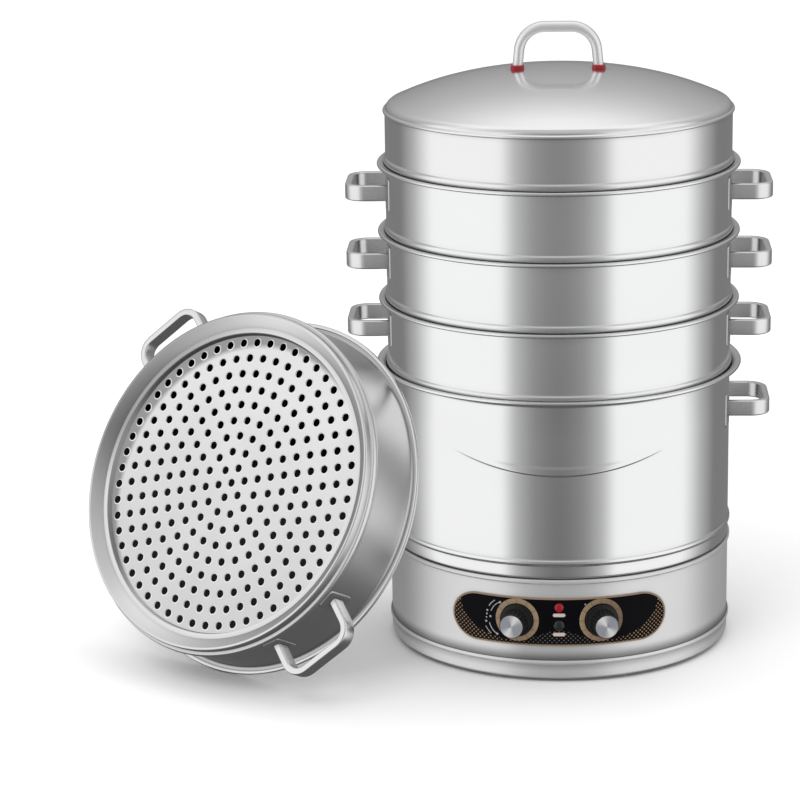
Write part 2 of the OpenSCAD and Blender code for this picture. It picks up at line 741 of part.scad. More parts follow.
module inlet_screws() color("#8a8c8f") inlet_face()
    for (x = [-1, 1]) translate([x * inlet_screw_x, 0, 0]) {
        translate([0, 0, -screw_reach]) cylinder(r = inlet_screw_r, h = screw_reach + inlet_flange_t);
        translate([0, 0, inlet_flange_t]) cylinder(r = inlet_screw_head_r, h = screw_head_h);
    }

block_y = 150;
block_d = 24;
terminal_pitch = block_w / 3.4;
terminal_hole_r = 3.4;
terminal_hole_h = 8;
module terminal_block() color("#ece9e2") translate([0, block_y, floor_z + floor_t])
    difference() {
        translate([-block_w / 2, -block_d / 2, 0]) cube([block_w, block_d, block_h]);
        for (i = [-1:1]) translate([i * terminal_pitch, 0, block_h - terminal_hole_h])
            cylinder(r = terminal_hole_r, h = terminal_hole_h + 1);
    }

// The loom: pairs of stiff round leads from the terminal block to the inlet, to the legs of the
// heating tube and to the two control bodies. Each is a chain of straight overlapping runs
lead_r = 2;
lead_in_hole = 6;
lead_rise = 10;
lead_top_rise = 16;
inlet_lead_x = 7;
inlet_lead_y = block_y + 6;
inlet_back_y = inlet_seat_r - inlet_depth;
control_lead_x = 26;
control_lead_z = 60;
control_run_in = 25;
block_top = floor_z + floor_t + block_h;
leg_x = tube_ring_r * sin(tube_gap_angle / 2);
leg_y = tube_ring_r * cos(tube_gap_angle / 2);
leg_z = heater_top - heater_t - cold_leg_l;

module lead(p) for (i = [0:len(p) - 2]) let(d = p[i + 1] - p[i]) translate(p[i])
    rotate([0, acos(d[2] / norm(d)), atan2(d[1], d[0])])
        cylinder(r = lead_r, h = norm(d) + (i < len(p) - 2 ? lead_r / 2 : 0));

module wiring_loom() color("#a33a2c") for (side = [-1, 1]) {
    lead([[side * terminal_pitch, block_y, block_top - lead_in_hole],
          [side * terminal_pitch, block_y, block_top + lead_rise],
          [side * leg_x, leg_y, block_top + lead_top_rise], [side * leg_x, leg_y, leg_z]]);
    lead([[side * inlet_lead_x, inlet_back_y, foot_h + inlet_z],
          [side * inlet_lead_x, inlet_lead_y, foot_h + inlet_z],
          [side * inlet_lead_x, inlet_lead_y, block_top]]);
    let(back = side < 0 ? thermostat_back : timer_back,
        way = [side * sin(knob_angle), -cos(knob_angle), 0])
        lead([[side * control_lead_x, block_y, block_top],
              [side * control_lead_x, block_y, control_lead_z],
              (back - control_run_in) * way + [0, 0, control_lead_z],
              (back - control_run_in) * way + [0, 0, knob_z],
              back * way + [0, 0, knob_z]]);
}

// Tiers. Each module draws a tier with its lower edge at z = 0

function tier_path() = concat(
    [[opening_r, cone_h], [land_r, cone_h]],
    arc(skirt_r - cone_edge_r, cone_edge_r, cone_edge_r, 270 - atan(cone_h / cone_w), 360, 4),
    seat_bead(0),
    flare(tier_h, tier_flare_r, tier_lip_out));

module tier_wall() color(steel) union() {
    spun(tier_path());
    rolled_lip(wall_r + tier_lip_out, tier_h);
}

plate_z = cone_h + sheet;
plate_r = opening_r + plate_rim_w;
plate_play = 0.5;
plate_step_run = 2;
plate_step_r = opening_r - plate_play;
plateau_r = plate_step_r - plate_step_run;

// The plate: a flat rim on the land, a step, and a raised plateau with rings of holes
module tier_plate() color(bright) difference() {
    spun([[0, plate_z + plate_step - sheet], [plateau_r, plate_z + plate_step - sheet],
          [plate_step_r, plate_z], [plate_r, plate_z]]);
    translate([0, 0, plate_z + plate_step - 2 * sheet]) linear_extrude(3 * sheet) {
        circle(d = hole_d, $fn = 24);
        for (ring = [1:hole_rings], i = [0:6 * ring - 1])
            rotate(i * 60 / ring) translate([ring * hole_pitch, 0]) circle(d = hole_d, $fn = 24);
    }
}

tier_handle_z = tier_h - handle_drop;
module tier_handles() color(steel) handle_loops(tier_handle_z);
module tier_pads() color(steel) handle_pads(tier_handle_z);

module lower() translate([0, 0, lower_z]) children();
module middle() translate([0, 0, middle_z]) children();
module upper() translate([0, 0, upper_z]) children();

module lower_tier_wall() lower() tier_wall();
module lower_tier_plate() lower() tier_plate();
module lower_tier_pads() lower() tier_pads();
module lower_tier_handles() lower() tier_handles();
module middle_tier_wall() middle() tier_wall();
module middle_tier_plate() middle() tier_plate();
module middle_tier_pads() middle() tier_pads();
module middle_tier_handles() middle() tier_handles();
module upper_tier_wall() upper() tier_wall();
module upper_tier_plate() upper() tier_plate();
module upper_tier_pads() upper() tier_pads();
module upper_tier_handles() upper() tier_handles();

// The leaning tier stands on its lip and touches the pot's lip. Its place is found by moving
// the mouth away from the stack until the two rolled lips are a seat gap apart

lip_c = wall_r + tier_lip_out;
pot_lip_c = wall_r + pot_lip_out;
lean_axis = [cos(lean_tilt) * cos(lean_turn), cos(lean_tilt) * sin(lean_turn), -sin(lean_tilt)];
lean_side_way = [-sin(lean_turn), cos(lean_turn), 0];
lean_up_way = cross(lean_axis, lean_side_way);
lean_mouth_z = lip_c * cos(lean_tilt) + lip_r;
function mouth(d) = [d * cos(lean_side), d * sin(lean_side), lean_mouth_z];
function lip_point(d, a) = mouth(d) + lip_c * (cos(a) * lean_side_way + sin(a) * lean_up_way);
function wire_gap(p) = norm([norm([p[0], p[1]]) - pot_lip_c, p[2] - pot_lip_z]) - 2 * lip_r;
function least_gap(d) = min([for (a = [90:0.5:180]) wire_gap(lip_point(d, a))]);
// The point of the leaning lip at the level of the pot's lip must lie outside the pot
level_angle = 180 - asin((pot_lip_z - lean_mouth_z) / (lip_c * cos(lean_tilt)));
function inside_pot(d) = let(p = lip_point(d, level_angle)) norm([p[0], p[1]]) < pot_lip_c;
function too_near(d) = inside_pot(d) || least_gap(d) < seat_gap;
function seated(near, far, tries) = let(d = (near + far) / 2)
    tries == 0 ? d : too_near(d) ? seated(d, far, tries - 1) : seated(near, d, tries - 1);
lean_reach = seated(1.5 * wall_r, 2.2 * wall_r, 24);
lean_foot = mouth(lean_reach) - tier_h * lean_axis;

module leaning() translate(lean_foot) rotate([0, 0, lean_turn]) rotate([0, 90 + lean_tilt, 0])
    rotate([0, 0, lean_roll]) children();

lean_handle_z = tier_h - lean_handle_drop;
module leaning_tier_wall() leaning() tier_wall();
module leaning_tier_plate() leaning() tier_plate();
module leaning_tier_pads() color(steel) leaning() handle_pads(lean_handle_z);
module leaning_tier_handles() color(steel) leaning() handle_loops(lean_handle_z);

// Lid. The band nests in the upper tier and the crown is seamed to its top

rim_z0 = rim_z - rim_bead_h / 2;
shoulder_x = wall_r - shoulder_r;
shoulder_z = rim_z + rim_bead_h / 2 + shoulder_up;
crown_c = shoulder_z - sqrt(pow(crown_r - shoulder_r, 2) - pow(shoulder_x, 2));
crown_h = crown_c + crown_r - rim_z;
crown_end = acos(shoulder_x / (crown_r - shoulder_r));
// The crown is drawn in this many runs, and the last one is half a run and flat
crown_runs = 11;
crown_step = (90 - crown_end) / (crown_runs + 0.5);
crown_flat = 90 - crown_step / 2;
seam_turn_in = 6 * sheet;

module lid_band() color(steel) spun(concat([[skirt_r, lid_z]], seat_bead(lid_z), [[wall_r, rim_z0]]));

module lid_crown() color(bright) difference() {
    spun(concat(
        [[wall_r - seam_turn_in, rim_z0], [wall_r, rim_z0]],
        [for (a = [-60:30:90]) [wall_r + bead_out * cos(a), rim_z + rim_bead_h / 2 * sin(a)]],
        arc(shoulder_x, shoulder_z, shoulder_r, 0, crown_end, 8),
        arc(0, crown_c, crown_r, crown_end + crown_step, crown_flat, crown_runs - 1),
        [[0, crown_c + crown_r * sin(crown_flat)]]));
    for (side = [-1, 1]) translate([side * leg_mid_x, 0, rim_z + crown_h / 2])
        cylinder(r = stud_r, h = crown_h);
}

// The handle: two legs, two bends and a top bar with one rounded section throughout
leg_mid_x = (bar_w - bar_t) / 2;
bar_top_z = rim_z + crown_h + bar_up;
bend_mid_r = bar_bend_r - bar_t / 2;
bend_z = bar_top_z - bar_bend_r;
// The crown's height under the legs, at a leg's far edge and at its near edge
function crown_z(r) = crown_c + sqrt(pow(crown_r, 2) - pow(r, 2));
grommet_half = bar_t / 2 + grommet_rim;
grommet_top = crown_z(leg_mid_x - grommet_half) + grommet_h * 0.75;

module bar_section() rounded(bar_t, bar_d, bar_edge_r);

module lid_handle() color(bright) difference() {
    union() {
        for (side = [-1, 1]) translate([side * leg_mid_x, 0, grommet_top])
            linear_extrude(bend_z - grommet_top) bar_section();
        for (side = [0, 180]) rotate([0, 0, side])
            translate([leg_mid_x - bend_mid_r, 0, bend_z]) rotate([90, 0, 0])
                rotate_extrude(angle = 90) translate([bend_mid_r, 0]) bar_section();
        translate([-leg_mid_x + bend_mid_r, 0, bend_z + bend_mid_r]) rotate([0, 90, 0])
            linear_extrude(2 * (leg_mid_x - bend_mid_r)) bar_section();
    }
    for (side = [-1, 1]) translate([side * leg_mid_x, 0, grommet_top - 1])
        cylinder(r = stud_r, h = stud_up + 1);
}

module lid_grommets() color("#a3161c") for (side = [-1, 1]) difference() {
    intersection() {
        translate([side * leg_mid_x, 0, rim_z]) linear_extrude(grommet_top - rim_z)
            rounded(2 * grommet_half, bar_d + 2 * grommet_rim, bar_edge_r + grommet_rim / 2);
        difference() {
            translate([0, 0, rim_z]) cylinder(r = wall_r, h = crown_h * 2);
            translate([0, 0, crown_c]) sphere(r = crown_r, $fn = 200);
        }
    }
    translate([side * leg_mid_x, 0, rim_z]) cylinder(r = stud_r, h = 2 * crown_h);
}

stud_up = 16;
nut_h = 4;
stud_down = 9;
crown_under = crown_z(leg_mid_x + stud_r) - sheet;

module lid_studs() color("#8a8c8f") for (side = [-1, 1])
    translate([side * leg_mid_x, 0, crown_under - stud_down])
        cylinder(r = stud_r, h = grommet_top + stud_up - crown_under + stud_down);

nut_r = 1.9 * stud_r;
nut_top = crown_z(leg_mid_x + nut_r) - sheet - curve_clear;
module lid_nuts() color("#8a8c8f") for (side = [-1, 1])
    translate([side * leg_mid_x, 0, nut_top - nut_h]) difference() {
        cylinder(r = nut_r, h = nut_h, $fn = 6);
        translate([0, 0, -1]) cylinder(r = stud_r, h = nut_h + 2);
    }

base_housing();
base_floor();
floor_screws();
rubber_feet();
pot_shell();
pot_clamp_ring();
clamp_screws();
pot_handle_pads();
pot_handles();
heater_plate();
heating_tube();
insulation_disc();
centre_stud();
thermal_cutout();
control_fascia();
fascia_trim();
control_bracket();
thermostat_body();
timer_body();
power_lamp_lens();
heat_lamp_lens();
lamp_holders();
power_inlet();
inlet_pins();
inlet_screws();
terminal_block();
wiring_loom();
thermostat_knob();
thermostat_knob_cap();
thermostat_shaft();
timer_knob();
timer_knob_cap();
timer_shaft();
lower_tier_wall();
lower_tier_plate();
lower_tier_pads();
lower_tier_handles();
middle_tier_wall();
middle_tier_plate();
middle_tier_pads();
middle_tier_handles();
upper_tier_wall();
upper_tier_plate();
upper_tier_pads();
upper_tier_handles();
leaning_tier_wall();
leaning_tier_plate();
leaning_tier_pads();
leaning_tier_handles();
lid_band();
lid_crown();
lid_handle();
lid_grommets();
lid_studs();
lid_nuts();
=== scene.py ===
# %% [markdown]
# # An electric bun steamer
#
# A heater base carries a fixed water pot. Three perforated tiers and a deep lid stand on the pot,
# and a fourth tier leans beside it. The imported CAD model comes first. It fixes where everything
# is. What follows builds the skins, the printed panel, the finishes and the studio around it.
#
# Sizes are in millimetres until a mesh is made, because that is how the maker thinks of sheet
# metal. Blender works in metres, so one constant turns the one into the other.

# %% The frame
import json
import math

import bpy
import numpy as np
from mathutils import Matrix


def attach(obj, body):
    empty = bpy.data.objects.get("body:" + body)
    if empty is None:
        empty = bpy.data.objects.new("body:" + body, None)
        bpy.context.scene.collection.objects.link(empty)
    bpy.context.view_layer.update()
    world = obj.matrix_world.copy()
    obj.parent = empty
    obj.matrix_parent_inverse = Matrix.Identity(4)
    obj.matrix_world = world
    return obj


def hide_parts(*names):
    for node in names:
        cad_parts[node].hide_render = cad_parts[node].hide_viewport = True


MM = 0.001
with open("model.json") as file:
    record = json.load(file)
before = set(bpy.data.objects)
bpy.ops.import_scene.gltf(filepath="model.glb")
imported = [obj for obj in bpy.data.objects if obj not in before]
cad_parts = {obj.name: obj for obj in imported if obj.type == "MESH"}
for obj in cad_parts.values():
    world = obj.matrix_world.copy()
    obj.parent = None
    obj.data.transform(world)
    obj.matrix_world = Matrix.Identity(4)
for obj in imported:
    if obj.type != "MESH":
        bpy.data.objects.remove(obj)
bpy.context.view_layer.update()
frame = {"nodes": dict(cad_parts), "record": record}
nodes = frame["nodes"]

# %% [markdown]
# ## The camera
#
# The lips, the beads and the two knobs gave the place of the camera. A camera has three axes of
# its own: right, up and backwards. Turning, tilting and rolling are worked out here as vectors,
# because that shows plainly what each angle does, and the matrix is written straight from them.

# %% Camera
camera_place = np.array([-2.0, -3841.5, 1354.1]) * MM
turn, tilt, roll = np.radians([3.113, 15.120, 0.920])
level_right = np.array([math.cos(turn), math.sin(turn), 0])
level_ahead = np.array([-math.sin(turn), math.cos(turn), 0])
above = level_ahead * math.sin(tilt) + np.array([0, 0, 1]) * math.cos(tilt)
ahead = np.cross(above, level_right)
right = math.cos(roll) * level_right - math.sin(roll) * above
upward = math.sin(roll) * level_right + math.cos(roll) * above

camera = bpy.data.objects.new("camera", bpy.data.cameras.new("camera"))
bpy.context.scene.collection.objects.link(camera)
camera.matrix_world = Matrix([
    (right[i], upward[i], -ahead[i], camera_place[i]) for i in range(3)
] + [(0, 0, 0, 1)])
camera.data.sensor_width = 36
camera.data.lens = 2993 / 800 * 36
camera.data.clip_end = 100
bpy.context.scene.camera = camera
print("camera: lens", round(camera.data.lens, 1), "mm, looks", np.round(ahead, 3))

# %% [markdown]
# ## Studio
#
# The world has two strengths. To the camera and to mirrors it is plain white, which gives the
# white background. To matt surfaces it is weaker, so that the world and one broad lamp together
# light them at a level at which a colour comes out about as it is written.

# %% World
scene = bpy.context.scene
scene.view_settings.view_transform = "Standard"
MATT_WORLD = 0.62
world = bpy.data.worlds.new("studio")
scene.world = world
world.use_nodes = True
air = world.node_tree
ray = air.nodes.new("ShaderNodeLightPath")
plain_white = ray.outputs["Is Camera Ray"]
for kind in ("Is Glossy Ray", "Is Transmission Ray"):
    either = air.nodes.new("ShaderNodeMath")
    either.operation = "MAXIMUM"
    air.links.new(plain_white, either.inputs[0])
    air.links.new(ray.outputs[kind], either.inputs[1])
    plain_white = either.outputs[0]
strength = air.nodes.new("ShaderNodeMapRange")
strength.inputs["To Min"].default_value = MATT_WORLD
air.links.new(plain_white, strength.inputs["Value"])
air.nodes["Background"].inputs["Color"].default_value = (1, 1, 1, 1)
air.links.new(strength.outputs[0], air.nodes["Background"].inputs["Strength"])
print("world: white to the camera,", MATT_WORLD, "to matt surfaces")

# %% [markdown]
# ## Surfaces from numpy
#
# Every new piece is one of three kinds of surface. A pressed or spun part is an outline carried
# round an axis. A strap or bar is a section carried along a path. A plate or print is a grid
# bent onto a wall. All three end as a grid of points, so one function turns a grid into faces.
# It joins the last column to the first, closes poles, and turns a shell that is inside out.
# A stack of rings that doesn't end at poles gets a lid at each end.

# %% Grid to faces
def skin(grid, close_rows=False, close_columns=True, poles=False):
    """Quads between neighbours of a grid of points. A pole row shrinks to its first point, and its
    quads become triangles. Returns points, quads and triangles."""
    rows, columns = grid.shape[:2]
    index = np.arange(rows * columns).reshape(rows, columns)
    if poles:
        index[0], index[-1] = index[0, 0], index[-1, 0]
    if close_rows:
        index = np.vstack([index, index[:1]])
    if close_columns:
        index = np.hstack([index, index[:, :1]])
    quads = np.stack([index[:-1, :-1], index[:-1, 1:], index[1:, 1:], index[1:, :-1]], 2)
    quads = quads.reshape(-1, 4)
    used, renumbered = np.unique(quads, return_inverse=True)
    quads = renumbered.reshape(-1, 4)
    first, last = quads[:, 0] == quads[:, 1], quads[:, 2] == quads[:, 3]
    tris = np.vstack([quads[first][:, [0, 2, 3]], quads[last][:, :3]])
    return outward(grid.reshape(-1, 3)[used], quads[~first & ~last], tris)


def capped(rings):
    """A stack of rings closed at both ends: each end row is repeated, shrunk to its middle."""
    ends = [np.repeat(rings[k].mean(axis=0)[None, None], rings.shape[1], 1) for k in (0, -1)]
    return skin(np.concatenate([ends[0], rings, ends[1]]), poles=True)


def volume(points, quads, tris):
    """Volume inside a closed shell: a sixth of the sum of the triple products of its triangles."""
    every = np.vstack([tris, quads[:, :3], quads[:, [0, 2, 3]]])
    a, b, c = (points[every[:, k]] for k in range(3))
    return float(np.sum(a * np.cross(b, c))) / 6


def outward(points, quads, tris):
    """The same shell with its faces turned round where its volume comes out negative."""
    if volume(points, quads, tris) < 0:
        quads, tris = quads[:, ::-1], tris[:, ::-1]
    return points, quads, tris


def moved(part, matrix):
    """A part carried by a 4 by 4 matrix: rotation times the point, plus the shift."""
    points, quads, tris = part
    return points @ matrix[:3, :3].T + matrix[:3, 3], quads, tris


def piece(name, parts, body, finish, replaces=(), crease=40):
    """One object from several parts in millimetres. It rides on a body and takes a finish."""
    starts = np.cumsum([0] + [len(p[0]) for p in parts])
    points = np.vstack([p[0] for p in parts]) * MM
    faces = np.vstack([p[1] + s for p, s in zip(parts, starts)]).tolist()
    faces += np.vstack([p[2] + s for p, s in zip(parts, starts)]).tolist()
    mesh = bpy.data.meshes.new(name)
    mesh.from_pydata(points, [], faces)
    mesh.shade_smooth()
    mesh.set_sharp_from_angle(angle=math.radians(crease))
    mesh.materials.append(finish)
    made = bpy.data.objects.new(name, mesh)
    scene.collection.objects.link(made)
    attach(made, body)
    if replaces:
        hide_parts(*replaces)
    litres = sum(volume(*p) for p in parts) * 1e-6
    print(f"{name}: {len(faces)} faces, {litres:.4f} litres of material")
    return made


# %% Outlines
def arc(x, z, radius, start, end, count=12):
    """Points on a circle: the centre plus the radius times cosine and sine of even angles."""
    a = np.radians(np.linspace(start, end, count))
    return np.column_stack([x + radius * np.cos(a), z + radius * np.sin(a)])


def bends(corners, count=7):
    """A path through corners (x, z, radius). A circle of that radius touches both runs at a
    corner, and its arc takes the corner's place."""
    corners = np.array(corners, float)
    path = [corners[:1, :2]]
    for a, b, c in zip(corners[:-2], corners[1:-1], corners[2:]):
        u, v = (a - b)[:2], (c - b)[:2]
        u, v = u / np.linalg.norm(u), v / np.linalg.norm(v)
        half = math.acos(max(-1, min(1, u @ v))) / 2
        if b[2] == 0 or half > 1.56:
            path.append(b[None, :2])
            continue
        middle = (u + v) / np.linalg.norm(u + v) * b[2] / math.sin(half) + b[:2]
        p = b[:2] + u * b[2] / math.tan(half) - middle
        q = b[:2] + v * b[2] / math.tan(half) - middle
        swing = math.pi - 2 * half
        t = np.linspace(0, 1, count)[:, None]
        curve = np.sin((1 - t) * swing) * p + np.sin(t * swing) * q
        path.append(middle + curve / math.sin(swing))
    path.append(corners[-1:, :2])
    return np.vstack(path)


def inner(path, thickness):
    """The path one sheet thickness to its left, along the mean normal of the two runs that meet."""
    run = np.diff(path, axis=0)
    run /= np.linalg.norm(run, axis=1)[:, None]
    before, after = np.vstack([run[:1], run]), np.vstack([run, run[-1:]])
    normal = np.column_stack([-before[:, 1] - after[:, 1], before[:, 0] + after[:, 0]])
    return path + thickness * normal / (1 + np.sum(before * after, axis=1))[:, None]


def lathe(outline, segments=288, lift=None):
    """Each outline point (r, z) goes round the Z axis: r cos a, r sin a, z. A lift of a, r and z
    may add to the radius."""
    a = np.linspace(0, 2 * np.pi, segments, endpoint=False)
    r, z = outline[:, :1] + 0 * a, outline[:, 1:] + 0 * a
    r = r + lift(a, r, z) if lift else r
    grid = np.stack([r * np.cos(a), r * np.sin(a), z], 2)
    on_axis = outline[0, 0] < 1e-6 and outline[-1, 0] < 1e-6
    return skin(grid, close_rows=not on_axis, poles=on_axis)


def bent_bar(corners, count, across, section):
    """A section (u, v) carried along a bend in a plane: path + u times its normal + v times the
    axis across the plane. The tangent comes from central differences."""
    path = bends(corners, count)
    tangent = np.gradient(path, axis=0)
    tangent /= np.linalg.norm(tangent, axis=1)[:, None]
    normal = np.column_stack([tangent[:, 1], -tangent[:, 0]])
    path, normal = (np.insert(part, across, 0, axis=1) for part in (path, normal))
    up = np.eye(3)[across]
    return capped(path[:, None] + section[:, :1] * normal[:, None] + section[:, 1:] * up)


def rounded_box(width, height, radius, count=6):
    """The outline of a rectangle with rounded corners, anticlockwise from its lower right."""
    x, y = width / 2 - radius, height / 2 - radius
    return np.vstack([arc(sx * x, sy * y, radius, start, start + 90, count)
                      for sx, sy, start in ((1, -1, -90), (1, 1, 0), (-1, 1, 90), (-1, -1, 180))])


print("outline tools: arc, bends, inner, lathe, bent_bar, rounded_box")

# %% [markdown]
# ## Shader maths as Python
#
# A pattern is arithmetic on the point being shaded. Wiring it by hand hides the arithmetic, so a
# small class stands for a socket and gives it Python's operators. Each operator adds one Math
# node. Any other node comes from one method that sets it up and feeds its sockets.

# %% Wires and finishes
class Wire:
    """A socket that Python's operators work on."""

    def __init__(self, finish, socket):
        self.finish, self.socket = finish, socket

    def maths(self, operation, *others):
        """Any Math node with this socket first."""
        inputs = dict(enumerate((self, *others)))
        return self.finish.node("Math", {"operation": operation}, inputs)

    def __add__(self, other): return self.maths("ADD", other)
    def __sub__(self, other): return self.maths("SUBTRACT", other)
    def __mul__(self, other): return self.maths("MULTIPLY", other)
    def __truediv__(self, other): return self.maths("DIVIDE", other)
    def __rsub__(self, other): return (self * -1) + other
    def __pow__(self, other): return self.maths("POWER", other)
    def __gt__(self, other): return self.maths("GREATER_THAN", other)
    def __lt__(self, other): return self.maths("LESS_THAN", other)
    __radd__, __rmul__ = __add__, __mul__


class Finish:
    """A material on one Principled shader. Fixed numbers go straight onto its sockets."""

    def __init__(self, name, **fixed):
        self.material = bpy.data.materials.new(name)
        self.material.use_nodes = True
        self.tree = self.material.node_tree
        self.shader = self.tree.nodes["Principled BSDF"]
        self.set(**fixed)

    def node(self, kind, settings=None, inputs=None, output=0):
        """Any shader node: its settings first, then the values or wires of its sockets."""
        made = self.tree.nodes.new("ShaderNode" + kind)
        for key, value in (settings or {}).items():
            if key == "stops":
                ramp = made.color_ramp.elements
                while len(ramp) < len(value):
                    ramp.new(0.5)
                for stop, (place, tone) in zip(ramp, value):
                    stop.position, stop.color = place, colour(tone)
            else:
                setattr(made, key, value)
        for key, value in (inputs or {}).items():
            self.feed(made.inputs[key], value)
        return Wire(self, made.outputs[output])

    def feed(self, socket, value):
        """A wire is linked to the socket, anything else is written onto it."""
        if isinstance(value, Wire):
            self.tree.links.new(value.socket, socket)
        else:
            socket.default_value = value

    def point(self, place=(0, 0, 0), turned=(0, 0, 0), scale=(1, 1, 1)):
        """Object coordinates, moved so that place is the origin and turned back by an angle."""
        here = self.node("TexCoord", output="Object")
        centred = self.node("Mapping", {"vector_type": "TEXTURE"},
                            {"Vector": here, "Location": place, "Rotation": turned})
        if scale == (1, 1, 1):
            return centred
        return self.node("VectorMath", {"operation": "MULTIPLY"}, {0: centred, 1: scale})

    def axes(self, vector):
        """The three numbers of a vector."""
        parts = self.node("SeparateXYZ", inputs={0: vector})
        return [Wire(self, parts.socket.node.outputs[k]) for k in range(3)]

    def share(self, value, start, end, interpolation="LINEAR"):
        """0 before start and 1 after end, with a straight or smooth way between."""
        return self.node("MapRange", {"interpolation_type": interpolation},
                         {"Value": value, "From Min": start, "From Max": end})

    def noise(self, vector, scale, detail=2.0):
        """Noise from 0 to 1 at a point."""
        return self.node("TexNoise", inputs={"Vector": vector, "Scale": scale, "Detail": detail})

    def mix(self, share, first, second):
        """One colour at share 0, the other at share 1."""
        made = self.tree.nodes.new("ShaderNodeMix")
        made.data_type = "RGBA"
        for socket, value in ((0, share), (6, first), (7, second)):
            plain_value = value if isinstance(value, (Wire, float, int)) else colour(value)
            self.feed(made.inputs[socket], plain_value)
        return Wire(self, made.outputs[2])

    def set(self, **wires):
        """Feeds the shader's sockets by name, with _ for a space."""
        for socket, value in wires.items():
            self.feed(self.shader.inputs[socket.replace("_", " ")], value)

    def bump(self, height, strength, distance):
        """Leans the normal by the slope of a height."""
        self.set(Normal=self.node("Bump", inputs={"Strength": strength, "Distance": distance,
                                                  "Height": height}))


def colour(tone):
    """Three or four numbers as a Blender colour."""
    return (*tone, 1) if len(tone) == 3 else tuple(tone)


print("finishes: one shader, Python maths")

# %% [markdown]
# ## Steel
#
# The walls are rolled stainless sheet. Its grain runs round the wall in lines a fraction of a
# millimetre apart, which is noise stretched a few hundred times longer than it is high. The
# grain feeds the roughness and a very light bump, and a slow second noise keeps large areas from
# looking drawn with a ruler. The loose tier lies on its side, so its grain is turned with it.
# Creases beside beads and under lips get painted shade: thin dark lines in the colour. Ambient
# occlusion over a few millimetres finds them, and takes some of the tone away there. The base is
# satin, so it is only partly a mirror, and a soft painted shade lies above and below its bead.

# %% Steel finishes
def steel(name, tone, roughness, place=(0, 0, 0), turned=(0, 0, 0), grain=0.03, spread=0.03,
          painted_crease_shade=0.0, metallic=1.0, painted_height_shades=(), painted_side_shade=None):
    """Brushed sheet. A painted shade (start, end, depth) darkens smoothly from one height to
    another, in millimetres, and painted_side_shade gives a share of painted shade somewhere else."""
    made = Finish(name, Metallic=metallic)
    fine = made.noise(made.point(place, turned, (9, 9, 1700)), 1.0, 3.0)
    slow = made.noise(made.point(place, turned, (2.5, 2.5, 9)), 1.0)
    polished = made.mix(slow * 0.7 + fine * 0.3, tuple(0.96 * v for v in tone),
                        tuple(min(1, 1.04 * v) for v in tone))
    # Painted shade in creases, found by ambient occlusion, darkens the colour there.
    if painted_crease_shade:
        open_side = made.node("AmbientOcclusion", {"samples": 12}, {"Distance": 0.007}, output=1)
        polished = made.mix((1 - open_side) * painted_crease_shade, polished, (0.13, 0.13, 0.135))
    # Painted shade: the colour darkens between two heights.
    if painted_height_shades:
        height = made.axes(made.point())[2] * 1000
        for start, end, depth in painted_height_shades:
            near = made.share(height, start, end, "SMOOTHSTEP")
            beyond = (height > end) if end > start else (height < end)
            polished = made.mix(near * (1 - beyond) * depth, polished, (0.07, 0.07, 0.07))
    # Painted shade wherever the given share says so.
    if painted_side_shade:
        polished = made.mix(painted_side_shade(made), polished, (0.16, 0.16, 0.165))
    made.set(Roughness=roughness + (fine - 0.5) * spread + (slow - 0.5) * spread,
             Base_Color=polished)
    made.bump(fine, grain, 0.0002)
    return made


LEAN_PLACE, LEAN_TURN = (-0.431, -0.173, 0.256), tuple(np.radians([-55.147, -142.091, -57.764]))
wall_steel = steel("steel_wall", (0.875, 0.878, 0.882), 0.15, painted_crease_shade=0.85).material
# The base gets painted shade just above its bead and just below it.
base_steel = steel("steel_base", (0.80, 0.80, 0.80), 0.30, painted_crease_shade=0.8, metallic=0.55,
                   painted_height_shades=((46, 29.5, 0.75), (13, 22.5, 0.3))).material
lid_steel = steel("steel_lid", (0.86, 0.86, 0.865), 0.16, painted_crease_shade=0.85).material
strap_steel = steel("steel_strap", (0.80, 0.80, 0.805), 0.27, grain=0.012, spread=0.02,
                    painted_crease_shade=0.9).material
plate_steel = steel("steel_plate", (0.86, 0.86, 0.86), 0.22).material


def upper_left_painted_shade(made):
    """Painted shade on the loose tier's foot, which turns away from the light up on its left: a
    soft share of x and z.
    """
    x, _, z = made.axes(made.point())
    side = made.share(x - z * 0.55, -0.60, -0.74, "SMOOTHSTEP")
    return side * made.share(z, 0.20, 0.30, "SMOOTHSTEP") * 0.6


# The loose tier gets painted shade on the upper left of its foot.
loose_steel = steel("steel_loose_tier", (0.79, 0.79, 0.795), 0.34, LEAN_PLACE, LEAN_TURN,
                    grain=0.01, spread=0.01, painted_crease_shade=1.2, painted_side_shade=upper_left_painted_shade).material
bar_steel = steel("steel_bar", (0.90, 0.90, 0.90), 0.36, painted_crease_shade=0.5, metallic=0.75).material
inner_steel = steel("steel_inner", (0.60, 0.61, 0.62), 0.38).material
fastener_steel = steel("steel_fastener", (0.55, 0.55, 0.56), 0.32).material
timer_steel = steel("steel_timer", (0.70, 0.71, 0.72), 0.30).material
tube_steel = steel("steel_heating_tube", (0.28, 0.27, 0.26), 0.5).material


